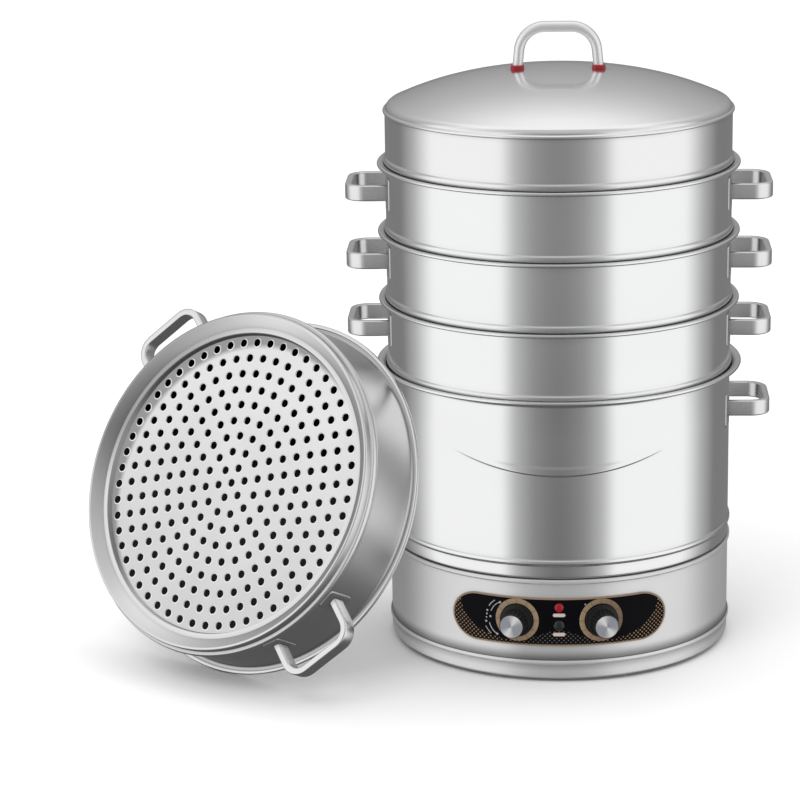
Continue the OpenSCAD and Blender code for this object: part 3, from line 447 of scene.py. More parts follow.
def loose_plate_finish():
    """The underside of the loose plate, with painted shade: paler up high and darker lower down,
    and a painted shadow in a crescent under the foot's edge, which is everything outside a circle
    that is set off from the plate's middle."""
    made = steel("steel_loose_plate", (0.80, 0.80, 0.80), 0.40, LEAN_PLACE, LEAN_TURN)
    # Painted shade: the plate gets darker lower down.
    low = (made.axes(made.point())[2] * -1 + 0.36) * (1 / 0.3)
    x, y, z = made.axes(made.point((-0.409, -0.167, 0.232)))
    away = (x ** 2 + y ** 2 + z ** 2).maths("SQRT")
    # Painted shadow: a crescent under the foot's edge.
    crescent = made.share(away, 0.194, 0.201)
    mottle = made.noise(made.point(LEAN_PLACE, LEAN_TURN), 14, 2.0)
    tone = made.mix(low * 0.8 + (mottle - 0.5) * 0.5, (0.86, 0.86, 0.86), (0.62, 0.62, 0.62))
    made.set(Base_Color=made.mix(crescent * 0.75, tone, (0.2, 0.2, 0.205)))
    return made.material


loose_plate = loose_plate_finish()
print("steels: wall, base, lid, strap, plate, loose tier, bar and four inside")

# %% [markdown]
# ## The room of tones and the floor
#
# One tall drum of light stands round the object. Its brightness changes with the angle from the
# front, so it is flag and window in one: grey in front, open at both sides, dark behind. The wall
# of a can mirrors the angle twice over, which makes the bands that run down every tier. The front
# flag is darker near the floor, because the pot shows a darker band than the tiers above it. High
# up in front the drum is greyer too, so that the dome isn't all white.
#
# The floor is a matt slab. The camera sees a little extra light on it, so that it comes out white
# in the open. Where the object stands over it, ambient occlusion takes that light away again.

# %% Room, lamp and floor
def stage_piece(name, parts, finish):
    """A studio object, no part of the steamer: its mesh from points and faces."""
    made = bpy.data.objects.new(name, bpy.data.meshes.new(name))
    points, quads, tris = parts
    made.data.from_pydata(points * MM, [], quads.tolist() + tris.tolist())
    made.data.materials.append(finish)
    scene.collection.objects.link(made)
    return made


room = Finish("room_of_tones", Base_Color=(0, 0, 0, 1), Roughness=1.0, Emission_Strength=1.0)
room_x, room_y, room_z = room.axes(room.point((0, 0, 0.75)))
turn_back = (room_x.maths("ARCTAN2", room_y * -1)).maths("ABSOLUTE") * (180 / math.pi)
climb = room_z.maths("ARCTAN2", (room_x ** 2 + room_y ** 2).maths("SQRT")) * (180 / math.pi)


def ramp(value, stops):
    """Grey tones at given values of a wire, straight lines between them."""
    first, last = stops[0][0], stops[-1][0]
    places = [((place - first) / (last - first), (tone, tone, tone)) for place, tone in stops]
    return room.node("ValToRGB", {"stops": places}, {"Fac": (value - first) / (last - first)})


around = ramp(turn_back, [(0, 0.24), (6, 0.25), (16, 0.31), (28, 0.53), (37, 1), (89, 1),
                          (107, 0.46), (124, 0.2), (180, 0.2)])
overhead = ramp(climb, [(-5, 0.24), (0, 0.29), (10, 0.34), (20, 0.42), (30, 0.5), (40, 0.64),
                        (50, 0.84), (58, 1), (75, 1), (90, 1)])
behind = room.share(turn_back, 92, 118) * room.share(climb, -4, 5)
tone = room.mix(behind.maths("MAXIMUM", room.share(climb, 25, 60)), around, overhead)
low_front = room.share(climb, -16, -25) * room.share(turn_back, 38, 0) * 0.3
tone = room.mix(low_front, tone, (0, 0, 0))
high_front = room.share(climb, 30, 60) * room.share(climb, 90, 80) * 0.55
high_front = high_front * room.share(turn_back, 80, 50)
tone = room.mix(high_front, tone, (0.2, 0.2, 0.2))
room.set(Emission_Color=room.mix(room.share(climb, -34, -48), tone, (0.1, 0.1, 0.1)))
drum = np.array([[0, -2200], [3000, -2200], [3000, 3800], [0, 3800], [0, 3805], [3005, 3805],
                 [3005, -2205], [0, -2205]])
tone_drum = stage_piece("tone_drum", lathe(drum, 180), room.material)
tone_drum.visible_camera = tone_drum.visible_diffuse = tone_drum.visible_shadow = False
tone_drum.visible_transmission = False

lamp = bpy.data.objects.new("key_light", bpy.data.lights.new("key_light", "AREA"))
scene.collection.objects.link(lamp)
lamp.data.shape, lamp.data.size, lamp.data.energy = "DISK", 2.4, 46
lamp.location = (-1.6, -2.6, 3.4)
aim = np.array([0, 0, 0.35]) - np.array(lamp.location)
down, aside = math.acos(-aim[2] / np.linalg.norm(aim)), math.atan2(aim[1], aim[0]) - math.pi / 2
lamp.rotation_euler = (down, 0, aside)
lamp.visible_glossy = False

ground = Finish("ground", Roughness=0.9, Emission_Strength=0.5, Specular_IOR_Level=0.1)
seen = ground.node("LightPath", output=0)
open_sky = ground.node("AmbientOcclusion", {"samples": 8}, {"Distance": 0.45}, output=1)
ground.set(Base_Color=(0.9, 0.9, 0.9, 1),
           Emission_Color=ground.mix(seen * open_sky ** 1.5, (0, 0, 0), (1, 1, 1)))
floor_slab = np.array([[0, -8], [9000, -8], [9000, -0.2], [0, -0.2]])
floor = stage_piece("floor", lathe(floor_slab, 96), ground.material)
floor.visible_glossy = False
print("studio: drum of tones, one lamp, floor")

# %% [markdown]
# ## Plastics, rubber and cast metal
#
# The small materials differ mostly in tone and gloss. Each gets a little noise in its roughness,
# because a moulding or a casting is never equally smooth all over.

# %% Plain finishes
def plain(name, tone, roughness, scale=60, spread=0.08, bump=0.0, **fixed):
    """One tone, a tenth lighter or darker with a noise that also moves the roughness."""
    made = Finish(name, **fixed)
    mottle = made.noise(made.point(), scale, 3.0)
    dark, light = tuple(0.9 * v for v in tone), tuple(min(1, 1.1 * v) for v in tone)
    made.set(Base_Color=made.mix(mottle, dark, light),
             Roughness=roughness + (mottle - 0.5) * spread)
    if bump:
        made.bump(mottle, bump, 0.0004)
    return made.material


rubber = plain("foot_rubber", (0.05, 0.05, 0.055), 0.75, 300, bump=0.2)
grommet_red = plain("grommet_silicone", (0.36, 0.008, 0.022), 0.34, 90)
cast_aluminium = plain("cast_aluminium", (0.62, 0.62, 0.63), 0.5, 400, 0.2, 0.4, Metallic=1.0)
fibre_board = plain("fibre_board", (0.82, 0.79, 0.72), 0.95, 900, 0.1, 0.5)
black_moulding = plain("black_moulding", (0.010, 0.010, 0.011), 0.38, 250, bump=0.05,
                       Specular_IOR_Level=0.3)
ivory_moulding = plain("ivory_moulding", (0.80, 0.77, 0.68), 0.4, 120)
brass = plain("brass_pin", (0.72, 0.52, 0.22), 0.3, 200, Metallic=1.0)
red_sleeve = plain("lead_sleeve", (0.42, 0.05, 0.03), 0.5, 150)
pale_gold = plain("trim_gold", (0.34, 0.24, 0.16), 0.4, 120)
cream_ink = plain("print_cream", (0.74, 0.62, 0.54), 0.5, 300)
grey_ink = plain("print_grey", (0.50, 0.50, 0.52), 0.5, 300)
red_lens = plain("lamp_red", (0.38, 0.008, 0.025), 0.1, 30, 0.02)
dark_lens = plain("lamp_dark", (0.02, 0.024, 0.026), 0.12, 30, 0.02)
print("plain finishes: rubber, plastics, castings, prints")

# %% [markdown]
# ## The panel's print
#
# The panel is gloss black with a fine mesh of brown dots near its ends and its lower edge. The
# product of two cosines has peaks in a diamond lattice, and those are the dots. They follow the
# arc length along the wall, not X, so that they stay even towards the ends. A flat-sided oval
# says where the mesh starts, and a low fan adds fainter dots under the lamps. The dials are
# printed rings. Their ticks are angles at which a sine is nearly zero.

# %% Panel and dial finishes
PANEL_R, KNOB_ANGLE, KNOB_Z = 226, 13.8, 83
MESH_ALONG, MESH_UP = 6, 5.7


def panel_finish():
    """Dots where cos(2 pi along / MESH_ALONG) cos(2 pi up / MESH_UP) is high."""
    made = Finish("panel_gloss_black", Specular_IOR_Level=0.05)
    x, y, z = made.axes(made.point())
    along = x.maths("ARCTAN2", y * -1) * PANEL_R
    up = z * 1000
    lattice = ((along * (2 * math.pi / MESH_ALONG)).maths("COSINE")
               * (up * (2 * math.pi / MESH_UP)).maths("COSINE"))
    dots = ((lattice - 0.35) * 4).maths("MAXIMUM", 0).maths("MINIMUM", 1)
    out = along.maths("ABSOLUTE")
    oval = (out * (1 / 134)) ** 4 + (((105 - up) * (1 / 51)).maths("MAXIMUM", 0)) ** 2
    mesh = (oval > 1).maths("MAXIMUM", up < 73 - out * 0.36)
    reach = ((out - 20) * (1 / 90)).maths("MAXIMUM", 0.12).maths("MINIMUM", 1)
    brown = made.mix(reach, (0.09, 0.10, 0.10), (0.44, 0.29, 0.17))
    mottle = made.noise(made.point(), 900, 2.0)
    made.set(Base_Color=made.mix(dots * mesh * (mottle * 0.6 + 0.6), (0.004, 0.004, 0.006), brown),
             Roughness=0.4 + (mottle - 0.5) * 0.1)
    return made.material


def round_knob(made, side):
    """Two axes across the knob on that side, x to its right and z up, and the angle round it."""
    place = made.point((0, 0, KNOB_Z * MM), (0, 0, math.radians(KNOB_ANGLE * side)))
    x, _, z = made.axes(place)
    return x, z, z.maths("ARCTAN2", x)


def dial_finish(name, side):
    """Brown gold with a tick where sin(6 angles) is nearly 0. On the right dial a painted shade
    darkens it outwards.
    """
    made = Finish(name, Specular_IOR_Level=0.2)
    x, _, angle = round_knob(made, side)
    tick = ((angle * 6).maths("SINE").maths("ABSOLUTE") < 0.075) * 0.75
    mottle = made.noise(made.point(), 420, 4.0)
    gold = made.mix(mottle, (0.30, 0.20, 0.115), (0.52, 0.38, 0.235))
    # Painted shade: the right dial darkens towards its outer side.
    if side > 0:
        gold = made.mix((x * (0.5 / 0.0288) + 0.5) * 0.55, gold, (0.12, 0.065, 0.05))
    made.set(Base_Color=made.mix(tick, gold, (0.07, 0.03, 0.02)),
             Roughness=0.45 + (mottle - 0.5) * 0.2)
    return made.material


def spun_finish(name, side, towards):
    """Turned aluminium with painted highlights: bright in two opposite sectors, blue grey between
    them, by the cube of (1 + cos 2 angle) / 2. A noise of the distance from the axis makes the
    turning marks."""
    made = Finish(name, Metallic=0.6)
    x, z, angle = round_knob(made, side)
    # Painted highlights: two bright sectors on opposite sides of the cap.
    sector = ((angle - math.radians(towards)) * 2).maths("COSINE") * 0.5 + 0.5
    away = (x ** 2 + z ** 2).maths("SQRT")
    rings = made.noise(made.node("CombineXYZ", inputs={0: away}), 2600, 2.0)
    made.set(Base_Color=made.mix(sector ** 3, (0.38, 0.39, 0.44), (1, 1, 1)),
             Roughness=0.22 + (rings - 0.5) * 0.2)
    return made.material


spun_cap = {side: spun_finish(f"spun_aluminium_{k}", side, towards)
            for side, k, towards in ((-1, "left", 65), (1, "right", 122))}
panel_black = panel_finish()
dial_gold = {side: dial_finish(f"dial_gold_{k}", side) for side, k in ((-1, "left"), (1, "right"))}
print("panel black with mesh, dials with ticks, caps with sectors")

# %% Finish of every CAD node
finish_of_slot = {
    "housing_steel": base_steel, "tier_steel": wall_steel, "plate_steel": plate_steel,
    "handle_steel": strap_steel, "polished_steel": lid_steel, "inner_steel": inner_steel,
    "fastener_steel": fastener_steel, "foot_rubber": rubber, "grommet_rubber": grommet_red,
    "heater_cast": cast_aluminium, "heater_tube": tube_steel, "insulation_fibre": fibre_board,
    "black_plastic": black_moulding, "fascia_black": panel_black, "trim_gold": pale_gold,
    "light_plastic": ivory_moulding, "timer_steel": timer_steel, "red_lens": red_lens,
    "dark_lens": dark_lens, "brass_pins": brass, "red_sleeve": red_sleeve,
    "spun_aluminium": spun_cap[1],
}
subparts = frame["record"]["subparts"]
finish_of_node = {row["node"]: finish_of_slot[row["material_slot"]] for row in subparts}
finish_of_node["lid_handle"] = bar_steel
finish_of_node["leaning_tier_plate"] = loose_plate
for name, solid in nodes.items():
    solid.data.materials.clear()
    solid.data.materials.append(finish_of_node[name])
print("finishes on", len(nodes), "nodes")

# %% [markdown]
# ## Pressed and rolled sheet
#
# Every wall is one strip of millimetre sheet, rolled to a can. Its foot is drawn in so that it
# nests in the piece below, a round bead above the foot carries it, and its upper edge turns out
# and is curled round a wire. All of that is one outline, so it is drawn once as a path of radius
# and height, thickened to the left, and spun. Beads are half ellipses that run into the wall
# through a small fillet, because a press can't make a sharp inner corner.

# %% Sheet outlines
WALL, SHEET, BEAD, LIP = 225, 1, 2.5, 2.6
SKIRT_R, SKIRT_H, SEAT_H = 222, 10.6, 10
ON_WIRE = 1.3


def ellipse_bead(middle, height, start, end=60):
    """Half an ellipse on the wall: wall + bead cos t, middle + half the height times sin t."""
    t = np.radians(np.linspace(start, end, 13))
    return np.column_stack([WALL + BEAD * np.cos(t), middle + height / 2 * np.sin(t)])


def run_out(round_part, middle, height, way):
    """The slanted run from a bead's shoulder to the wall, with a fillet where it meets the wall."""
    slope = height / 2 * math.cos(math.pi / 3) / (BEAD * math.sin(math.pi / 3))
    foot = round_part[1] + way * (round_part[0] - WALL) * slope
    return bends([(*round_part, 0), (WALL, foot, 1.8), (WALL, foot + 3 * way, 0)], 5)[1:]


def seat_bead(z):
    """The step above a skirt that starts at height z, then the bead on which a piece sits."""
    step, middle = z + SKIRT_H, z + SKIRT_H + SEAT_H / 2
    round_part = ellipse_bead(middle, SEAT_H, -90)
    return np.vstack([bends([(SKIRT_R, z + 4, 0), (SKIRT_R, step, 0.8), (WALL, step, 0)], 4)[1:-1],
                      round_part, run_out(round_part[-1], middle, SEAT_H, 1)])


def wall_bead(middle, height=7):
    """A bead with the wall above and below it."""
    round_part = ellipse_bead(middle, height, -60)
    return np.vstack([run_out(round_part[0], middle, height, -1)[::-1], round_part,
                      run_out(round_part[-1], middle, height, 1)])


def rolled(path, wire):
    """A sheet whose path ends on a wire: up the outside, round the wire, back down the inside."""
    rise = path[-1, 1] - wire[1]
    start = 180 - math.degrees(math.asin(rise / LIP))
    end = 540 - math.degrees(math.asin((rise + SHEET) / LIP))
    return np.vstack([path[:-1], arc(*wire, LIP, start, end, 22), inner(path, SHEET)[-2::-1]])


def flare(lip_z, radius, out):
    """The wall's upper end turns out on an arc and lies flat, ON_WIRE above the wire's middle."""
    top = lip_z + ON_WIRE
    return np.vstack([arc(WALL + radius, top - radius, radius, 180, 90, 9), [(WALL + out, top)]])


LEDGE_R, LEDGE_Z, FOOT_EDGE = 199, 12, 2.5
TIER_LIP_Z, TIER_LIP_OUT = 99.5, 8.4
tier_outline = rolled(np.vstack([
    [(LEDGE_R, LEDGE_Z), (LEDGE_R + 6, LEDGE_Z)],
    arc(SKIRT_R - FOOT_EDGE, FOOT_EDGE, FOOT_EDGE, 234.8, 360, 7), seat_bead(0),
    np.column_stack([np.full(4, WALL), np.linspace(35, 85, 4)]),
    flare(TIER_LIP_Z, 5, TIER_LIP_OUT)]), (WALL + TIER_LIP_OUT, TIER_LIP_Z))
print("tier outline:", len(tier_outline), "points, highest", round(tier_outline[:, 1].max(), 2))

# %% [markdown]
# ## The tiers
#
# The three stacked tiers are the same pressing, so one shell is made and set at three heights. The
# fourth lies on its rolled lip beside the pot. Its place is three turns and a shift, written as
# matrices and multiplied, so that everything on that tier can take the same path. It stays out of
# reflections, so that the pot's left side shows the room's tones only.

# %% Tier walls
TIER_Z = {"lower": 358.697, "middle": 448.289, "upper": 537.882}
LID_Z, RIM_Z, POT_LIP_Z = 627.474, 706.474, 372.5


def shifted(x=0, y=0, z=0):
    """The matrix of a shift."""
    return np.array(Matrix.Translation((x, y, z)))


def turned(degrees, axis="Z"):
    """The matrix of a turn about an axis."""
    return np.array(Matrix.Rotation(math.radians(degrees), 4, axis))


leaning = shifted(-431.027, -172.952, 255.792) @ turned(55.4) @ turned(116.8, "Y") @ turned(133.5)
tier_place = {name: shifted(z=z) for name, z in TIER_Z.items()} | {"leaning": leaning}
tier_shell = lathe(tier_outline, 360)
for name, place in tier_place.items():
    loose = name == "leaning"
    wall = piece(f"{name}_wall", [moved(tier_shell, place)], f"{name}_tier",
                 loose_steel if loose else wall_steel, [f"{name}_tier_wall"])
    wall.visible_glossy = not loose
nodes["leaning_tier_plate"].visible_glossy = False

# %% [markdown]
# ## A black card of painted shade in the loose tier
#
# The holes of the loose plate would look straight through at the white floor. The shade inside
# the tier is painted in with a black card, a dark disc a few centimetres behind the plate: painted
# shade, near black up high and dark grey lower down. It is part of the studio and not of the tier,
# but it moves with the tier. Only the camera sees it, and it shows from the plate's side only,
# because its alpha is nought where its back is seen.

# %% Card
CARD_R, CARD_Z, CARD_SIDES = 222, 52, 96
card_finish = Finish("painted_shade_card", Roughness=1.0, Specular_IOR_Level=0.0)
card_z = card_finish.axes(card_finish.point())[2]
# Painted shade: near black up high, dark grey lower down.
painted_shade_tone = card_finish.mix(card_finish.share(card_z, 0.30, 0.20), (0.002, 0.002, 0.002),
                            (0.045, 0.045, 0.047))
seen_from_back = card_finish.node("NewGeometry", output=6)
card_finish.set(Base_Color=painted_shade_tone, Alpha=1 - seen_from_back)
card_edge = arc(0, 0, CARD_R, 360, 0, CARD_SIDES + 1)[:-1]
card_edge = np.column_stack([card_edge, np.full(CARD_SIDES, CARD_Z)])
card_edge = moved((card_edge, None, None), leaning)[0]
card = stage_piece("painted_shade_card", (card_edge, np.arange(CARD_SIDES)[None], np.empty((0, 3), int)),
                   card_finish.material)
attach(card, "leaning_tier")
card.visible_diffuse = card.visible_glossy = card.visible_shadow = card.visible_transmission = False
print("card faces", np.round(card.data.polygons[0].normal, 2))

# %% [markdown]
# ## The water pot
#
# The pot is the same kind of can with a bottom. A shallow smile is pressed into its front. Its
# upper and lower edges are the cuts of two tilted planes with the can, which is why they curve.
# The height of a point above the lower cut and below the upper one says how deep it lies inside,
# and a smooth step of that depth pushes the wall out by less than a millimetre.

# %% Pot
POT_BOTTOM, POT_EDGE, POT_LIP_OUT = 138, 4, 12.1
SMILE_DEPTH, SMILE_EDGE = 0.9, 2.4
LOWER_CUT, UPPER_CUT = (274.0, 0.56), (287.0, 0.333)


def smile(a, r, z):
    """The depth times a smooth step of how far a point lies inside the two cuts. A cut is a height
    at the front and a rise for every millimetre further back."""
    away = WALL * (1 + np.sin(a))
    low, high = (cut[0] + cut[1] * away for cut in (LOWER_CUT, UPPER_CUT))
    inside = np.minimum(z - low, high - z)
    t = np.clip(inside / SMILE_EDGE, 0, 1) * (r > WALL - 0.5)
    return SMILE_DEPTH * t * t * (3 - 2 * t)


pot_path = np.vstack([
    [(0, POT_BOTTOM), (110, POT_BOTTOM)],
    arc(WALL - POT_EDGE, POT_BOTTOM + POT_EDGE, POT_EDGE, 270, 360, 6), wall_bead(160),
    np.column_stack([np.full(50, WALL), np.linspace(268, 317, 50)]),
    flare(POT_LIP_Z, 11.5, POT_LIP_OUT)])
piece("pot", [lathe(rolled(pot_path, (WALL + POT_LIP_OUT, POT_LIP_Z)), 440, smile)], "boiler_base",
      wall_steel, ["pot_shell"])

# %% [markdown]
# ## The lid
#
# The lid is two pressings seamed together: a cylindrical band that nests in the upper tier, and a
# domed crown with a tight shoulder. The seam shows as a thin bead. The crown's height falls with
# the square of the radius and a little of its fourth power. The shoulder is an arc that touches
# the crown, and the outline runs from the axis outwards and back underneath, so both of its ends
# meet at poles.

# %% Lid
RIM_BEAD = 2.5
band_path = np.vstack([[(SKIRT_R, LID_Z)], seat_bead(LID_Z), [(WALL, RIM_Z - RIM_BEAD)]])
piece("lid_skirt", [lathe(np.vstack([band_path, inner(band_path, SHEET)[::-1]]), 360)], "lid",
      lid_steel, ["lid_band"])

CROWN_H, SHOULDER = 53, 13
BY_SQUARE, BY_FOURTH = 1 / 1400, 3.7e-9


def crown_height(r):
    """Rim height + crown height - r squared times one constant - r to the fourth times another."""
    return RIM_Z + CROWN_H - BY_SQUARE * r ** 2 - BY_FOURTH * r ** 4


r = np.linspace(WALL, 0, 600)
lean = 2 * BY_SQUARE * r + 4 * BY_FOURTH * r ** 3
normal = np.column_stack([lean, np.ones(600)]) / np.sqrt(1 + lean ** 2)[:, None]
centre = np.column_stack([r, crown_height(r)]) - SHOULDER * normal
start = int(np.argmax(centre[:, 0] <= WALL - SHOULDER))
shoulder_z, shoulder_end = centre[start, 1], math.degrees(math.acos(normal[start, 0]))
t = np.radians(np.linspace(-60, 75, 12))
rim_bead = np.column_stack([WALL + BEAD * np.cos(t), RIM_Z + RIM_BEAD * np.sin(t)])
shoulder_start = math.degrees(math.asin((RIM_Z + 3 - shoulder_z) / SHOULDER))
crown_r = np.concatenate([r[start::14], [0]])
shoulder = arc(WALL - SHOULDER, shoulder_z, SHOULDER, shoulder_start, shoulder_end, 16)
crown_path = np.vstack([[(219, RIM_Z - RIM_BEAD), (WALL, RIM_Z - RIM_BEAD)], rim_bead, shoulder,
                        np.column_stack([crown_r, crown_height(crown_r)])[1:]])
print("crown: apex", round(crown_height(0), 1), "mm, shoulder centre", round(shoulder_z, 1), "mm")
crown_inside = inner(crown_path, SHEET)
crown_inside[-1, 0] = 0
piece("lid_dome", [lathe(np.vstack([crown_path[::-1], crown_inside]), 360)], "lid", lid_steel,
      ["lid_crown"])

# %% [markdown]
# ## Handles
#
# A side handle is a strap of nine millimetres, bent to a square U with generous corners and welded
# to two pads. A path with rounded corners carries a rounded section. The straps end on the wall,
# so their last points are pushed out to the wall's own circle. Handles stay out of reflections,
# because the satin wall close beside them would otherwise show a second pad.

# %% Side handles
STRAP_X, STRAP_BEND, STRAP_T, STRAP_H = 272, 21.5, 9, 20.5
PAD_Y, PAD_W, PAD_H = 48.5, 24, 44
POT_HANDLE_Z, TIER_HANDLE_UP, LOOSE_HANDLE_UP = 316.5, 66.5, 45


def strap():
    """The U in plan with the strap's section. x is at least the wall's circle at that y."""
    corners = [(219, -PAD_Y, 0), (STRAP_X, -PAD_Y, STRAP_BEND), (STRAP_X, PAD_Y, STRAP_BEND),
               (219, PAD_Y, 0)]
    points, quads, tris = bent_bar(corners, 10, 2, rounded_box(STRAP_T, STRAP_H, 2.2, 5))
    points[:, 0] = np.maximum(points[:, 0], np.sqrt(225.6 ** 2 - points[:, 1] ** 2))
    return points, quads, tris


def pad(y):
    """A rounded plate bent onto the wall: insets of its outline at rising height, x from the
    circle of that radius at each y."""
    rows = [(0, 225.0), (0, 226.0), (0.25, 226.4), (0.8, 226.6), (4, 226.6), (8, 226.6)]
    rings = []
    for inset, radius in rows:
        ring = rounded_box(PAD_W - 2 * inset, PAD_H - 2 * inset, max(4 - inset, 0.5), 6)
        across, height = y + ring[:, 0], ring[:, 1] - 2
        rings.append(np.column_stack([np.sqrt(radius ** 2 - across ** 2), across, height]))
    return capped(np.stack(rings))


def handle_pair(name, body, place, straps, pads):
    """Two straps and four pads: each shape twice, half a turn apart."""
    for part, shapes, node in (("straps", [strap()], straps),
                               ("welds", [pad(PAD_Y), pad(-PAD_Y)], pads)):
        both = [moved(shape, place @ turned(half)) for half in (0, 180) for shape in shapes]
        made = piece(f"{name}_{part}", both, body, strap_steel, [node])
        made.visible_glossy = False


handle_pair("pot", "boiler_base", shifted(z=POT_HANDLE_Z), "pot_handles", "pot_handle_pads")
for name, place in tier_place.items():
    up = LOOSE_HANDLE_UP if name == "leaning" else TIER_HANDLE_UP
    handle_pair(name, f"{name}_tier", place @ shifted(z=up), f"{name}_tier_handles",
                f"{name}_tier_pads")

# %% Lid handle
BAR_X, BAR_Z, BAR_T, BAR_W = 52.5, 811.5, 13.4, 20
GROMMET_TOP = crown_height(BAR_X) + 5.2
bar_foot = GROMMET_TOP - 6
bar = bent_bar([(-BAR_X, bar_foot, 0), (-47, BAR_Z, 33), (47, BAR_Z, 33), (BAR_X, bar_foot, 0)],
               18, 1, rounded_box(BAR_T, BAR_W, 6.6, 10))
piece("lid_bar", [bar], "lid", bar_steel, ["lid_handle"])

# %% [markdown]
# ## Grommets and knobs
#
# The bar stands on two red rubber cushions. Their feet follow the crown, so the lowest ring takes
# its height from the crown and the others go evenly up from there to a rounded shoulder. A stud
# comes up through the crown into each leg, with a nut under the sheet.
#
# A knob is turned on an axis too, but its grip has grooves. A cosine of the angle makes them, and
# it acts only where the grip's radius and height say so. The metal cap is spun, and the fine rings
# left by the tool are real rings here. The bright sectors in which they catch the light are painted
# highlights in the cap's colour.

# %% Grommets
GROMMET_L, GROMMET_W = 17.3, 24.8


def grommet(x):
    """Rounded boxes from the crown's height at each point up to a flat top."""
    rings = []
    for inset, level in [(0, 0), (0.1, 0.35), (0.12, 0.7), (0.5, 0.88), (1.6, 1)]:
        ring = rounded_box(GROMMET_L - 2 * inset, GROMMET_W - 2 * inset, 5.2 - inset, 8) + (x, 0)
        crown_here = crown_height(np.linalg.norm(ring, axis=1))
        rings.append(np.column_stack([ring, crown_here + level * (GROMMET_TOP - crown_here)]))
    return capped(np.stack(rings))


piece("grommets", [grommet(-BAR_X), grommet(BAR_X)], "lid", grommet_red,
      ["lid_grommets"])


def upright(radius, low, high, bore=0, sides=24):
    """A bar or ring on the Z axis under each leg: four corners of radius and height, spun."""
    outline = np.array([(bore, low), (radius, low), (radius, high), (bore, high)], float)
    shape = lathe(outline, sides)
    return [moved(shape, shifted(side * BAR_X)) for side in (-1, 1)]


STUD_R, NUT_R = 3, 6.2
under = crown_height(BAR_X) - SHEET
piece("bar_studs", upright(STUD_R, under - 9, under + 16), "lid", fastener_steel,
      ["lid_studs"])
piece("bar_nuts", upright(NUT_R, under - 5.2, under - 0.8, STUD_R + 0.02, 6), "lid", fastener_steel,
      ["lid_nuts"])

# %% Knobs
KNOB_BACK, GROOVES, GROOVE_DEPTH = 227.5, 18, 1.3


def grooves(a, r, z):
    """The depth times the fourth power of (1 + cos) / 2, once per groove, on the grip only."""
    on_grip = np.clip((z - 7) / 1.5, 0, 1) * np.clip((25.5 - z) / 1.5, 0, 1) * (r > 14.9) * (r < 17)
    return -GROOVE_DEPTH * on_grip * (0.5 + 0.5 * np.cos(GROOVES * a)) ** 4


def at_front(angle, z, radius):
    """Local Z points out of the front at an angle from its middle, local Y points up."""
    return turned(angle) @ shifted(0, -radius, z) @ turned(90, "X")


knob_outline = np.vstack([
    [(0, 0), (21.0, 0)], arc(20.9, 2.9, 0.6, 0, 90, 5),
    bends([(20, 3.5, 0), (17.0, 4.1, 1.2), (16.2, 8, 0)], 6),
    np.column_stack([np.linspace(16.2, 15.7, 20), np.linspace(8.4, 26, 20)]),
    arc(14.95, 26.8, 0.7, 10, 90, 5), [(14.8, 27.45), (14.8, 26.2), (0, 26.2)]])
ring_r = np.linspace(14.2, 0, 72)
rings_z = 27.86 + 0.05 * np.cos(ring_r * 2 * np.pi / 0.8) - 0.35 * np.exp(-ring_r ** 2 / 4)
cap_face = np.column_stack([ring_r, rings_z])
cap_outline = np.vstack([[(0, 26.1), (14.7, 26.1), (14.8, 27.4)],
                         arc(14.3, 27.5, 0.5, 0, 70, 4), cap_face])
cap_outline[-1, 0] = 0
pointer = capped(np.stack([
    np.column_stack([rounded_box(1.8 - 2 * i, 5.2 - 2 * i, 0.5, 3) + (0, 18.2), np.full(12, h)])
    for i, h in ((0, 2.6), (0, 3.8), (0.3, 4.1))]))
for name, side in (("thermostat", -1), ("timer", 1)):
    place = at_front(KNOB_ANGLE * side, KNOB_Z, KNOB_BACK)
    piece(f"{name}_grip", [moved(lathe(knob_outline, 216, grooves), place), moved(pointer, place)],
          f"{name}_knob", black_moulding, [f"{name}_knob"])
    piece(f"{name}_cap", [moved(lathe(cap_outline, 96), place)], f"{name}_knob", spun_cap[side],
          [f"{name}_knob_cap"])

# %% [markdown]
# ## Prints on the panel
#
# Prints are skins of a tenth of a millimetre. Each is a ribbon: a path in arc length and height, a
# half width at every point of it, and two radii, one on the panel and one just above it. A dot is
# a ribbon too, with the half width of a circle.

# %% Ribbons on the panel
def ribbon(path, half, closed=False):
    """A strip of thin print: the path plus and minus its normal times the half width, wrapped on
    the wall: R sin(s / R), -R cos(s / R), z."""
    if closed:
        tangent = np.roll(path, -1, 0) - np.roll(path, 1, 0)
    else:
        tangent = np.gradient(path, axis=0)
    tangent = tangent / np.linalg.norm(tangent, axis=1)[:, None]
    normal = np.column_stack([-tangent[:, 1], tangent[:, 0]]) * np.reshape(half, (-1, 1))
    flat = np.stack([path - normal, path - normal, path + normal, path + normal], 1)
    radius = PANEL_R + np.array([0.02, 0.12, 0.12, 0.02])
    turn_s = flat[:, :, 0] / PANEL_R
    grid = np.stack([radius * np.sin(turn_s), -radius * np.cos(turn_s), flat[:, :, 1]], 2)
    if closed:
        return skin(grid, close_rows=True)
    return capped(grid)


def pill(s, z, width, height):
    """A bar with round ends: the half width follows a circle over the last half height."""
    x = width / 2 * np.sin(np.linspace(-1, 1, 15) * 1.56)
    over = np.maximum(np.abs(x) - (width - height) / 2, 0)
    half = np.sqrt(np.maximum((height / 2) ** 2 - over ** 2, 1e-4))
    return ribbon(np.column_stack([s + x, np.full(15, z)]), half)


def line(points, half):
    """A smooth line through a few points: a parabola in each coordinate."""
    t = np.linspace(0, 1, len(points))
    fine = np.linspace(0, 1, 14)
    fit = [np.polyval(np.polyfit(t, np.array(points)[:, k], 2), fine) for k in range(2)]
    return ribbon(np.column_stack(fit), np.full(14, half))


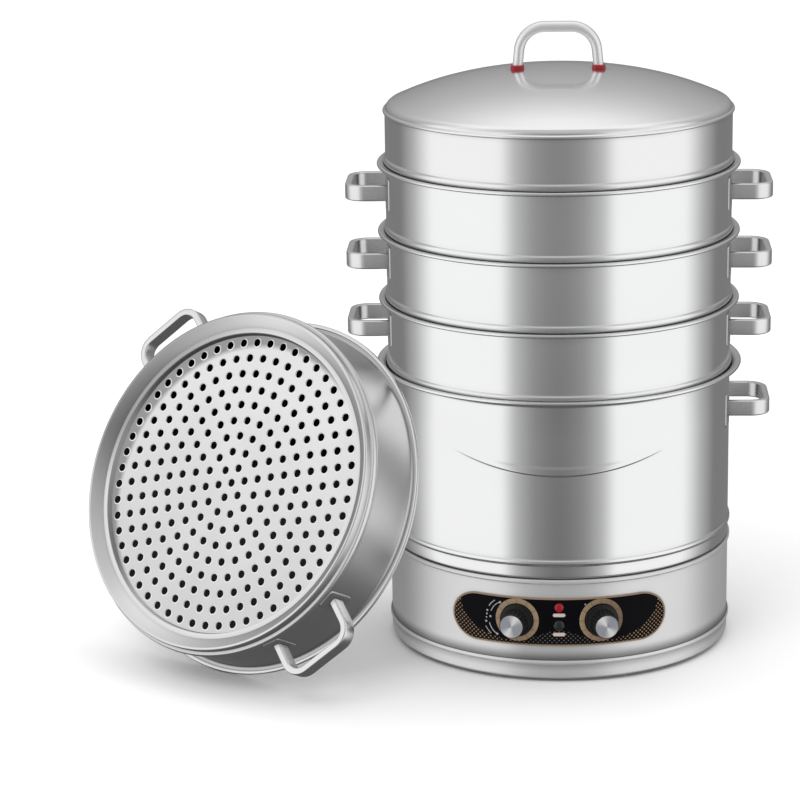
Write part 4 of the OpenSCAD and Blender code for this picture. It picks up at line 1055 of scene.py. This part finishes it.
KNOB_S = PANEL_R * math.radians(KNOB_ANGLE)
for side, name in ((-1, "left"), (1, "right")):
    rim = arc(side * KNOB_S, KNOB_Z, 25.2, 0, 360, 97)[:-1]
    piece(f"dial_{name}", [ribbon(rim, np.full(96, 3.3), True)], "boiler_base", dial_gold[side])
piece("lamp_marks", [pill(0, 91, 16, 4.6), pill(0, 65.2, 16, 4.6)], "boiler_base", cream_ink)
marks = [line([(-92.1, 97.6), (-88.6, 102.3), (-83.8, 106.3)], 0.55),
         line([(-97.1, 69.6), (-93.7, 65.2), (-89.4, 60.7)], 0.5),
         line([(-89.5, 91.2), (-86.4, 96.7), (-82.1, 101.5), (-77.4, 104.0)], 0.5),
         line([(-91.7, 75.2), (-89.3, 69.2), (-85.8, 64.6), (-81.3, 61.2)], 0.6)]
marks += [pill(s, z, w, w) for s, z, w in (
    (-94.6, 91.5, 2.6), (-95.3, 86.6, 2.2), (-95.8, 81.8, 2.0), (-96.3, 76.5, 2.8),
    (-90.3, 83.6, 2.8), (-76.9, 104.2, 3.0), (-80.9, 61.0, 3.0), (33.5, 105.0, 2.0))]
piece("dial_marks", marks, "boiler_base", grey_ink)

# %% [markdown]
# ## Eyelets
#
# The steam holes are pressed through, so each has a small raised rim that catches the light. There
# are 271, in rings of 6, 12, 18 and so on round a middle one, and each rim has a few dozen faces.

# %% Eyelets
HOLE_PITCH = 20.8
hole_ring = np.concatenate([[0]] + [np.full(6 * k, k) for k in range(1, 10)])
hole_turn = np.concatenate([[0]] + [np.arange(6 * k) * np.pi / 3 / k for k in range(1, 10)])
hole_r = HOLE_PITCH * hole_ring
hole_x, hole_y = hole_r * np.cos(hole_turn), hole_r * np.sin(hole_turn)
print("holes:", len(hole_x))


def eyelets(low, high):
    """A small rim round every hole: a four-sided section spun in 14 steps, one grid per corner."""
    a = np.linspace(0, 2 * np.pi, 14, endpoint=False)
    section = np.array([(5.3, low), (6.6, low), (5.9, high), (5.3, high - 0.1)])
    radius, height = section[:, :1], section[:, 1:]
    rim = np.stack([radius * np.cos(a), radius * np.sin(a), height + 0 * a], 2)
    points, quads, tris = skin(rim, close_rows=True)
    spots = np.column_stack([hole_x, hole_y, 0 * hole_x])
    every = (spots[:, None] + points).reshape(-1, 3)
    offsets = (np.arange(len(spots)) * len(points))[:, None, None]
    return every, (offsets + quads).reshape(-1, 4), tris


for name, place in tier_place.items():
    low, high = (18.9, 18.6) if name == "leaning" else (19.9, 20.3)
    rims = piece(f"{name}_eyelets", [moved(eyelets(low, high), place)], f"{name}_tier",
                 plate_steel, crease=30)
    rims.visible_glossy = False
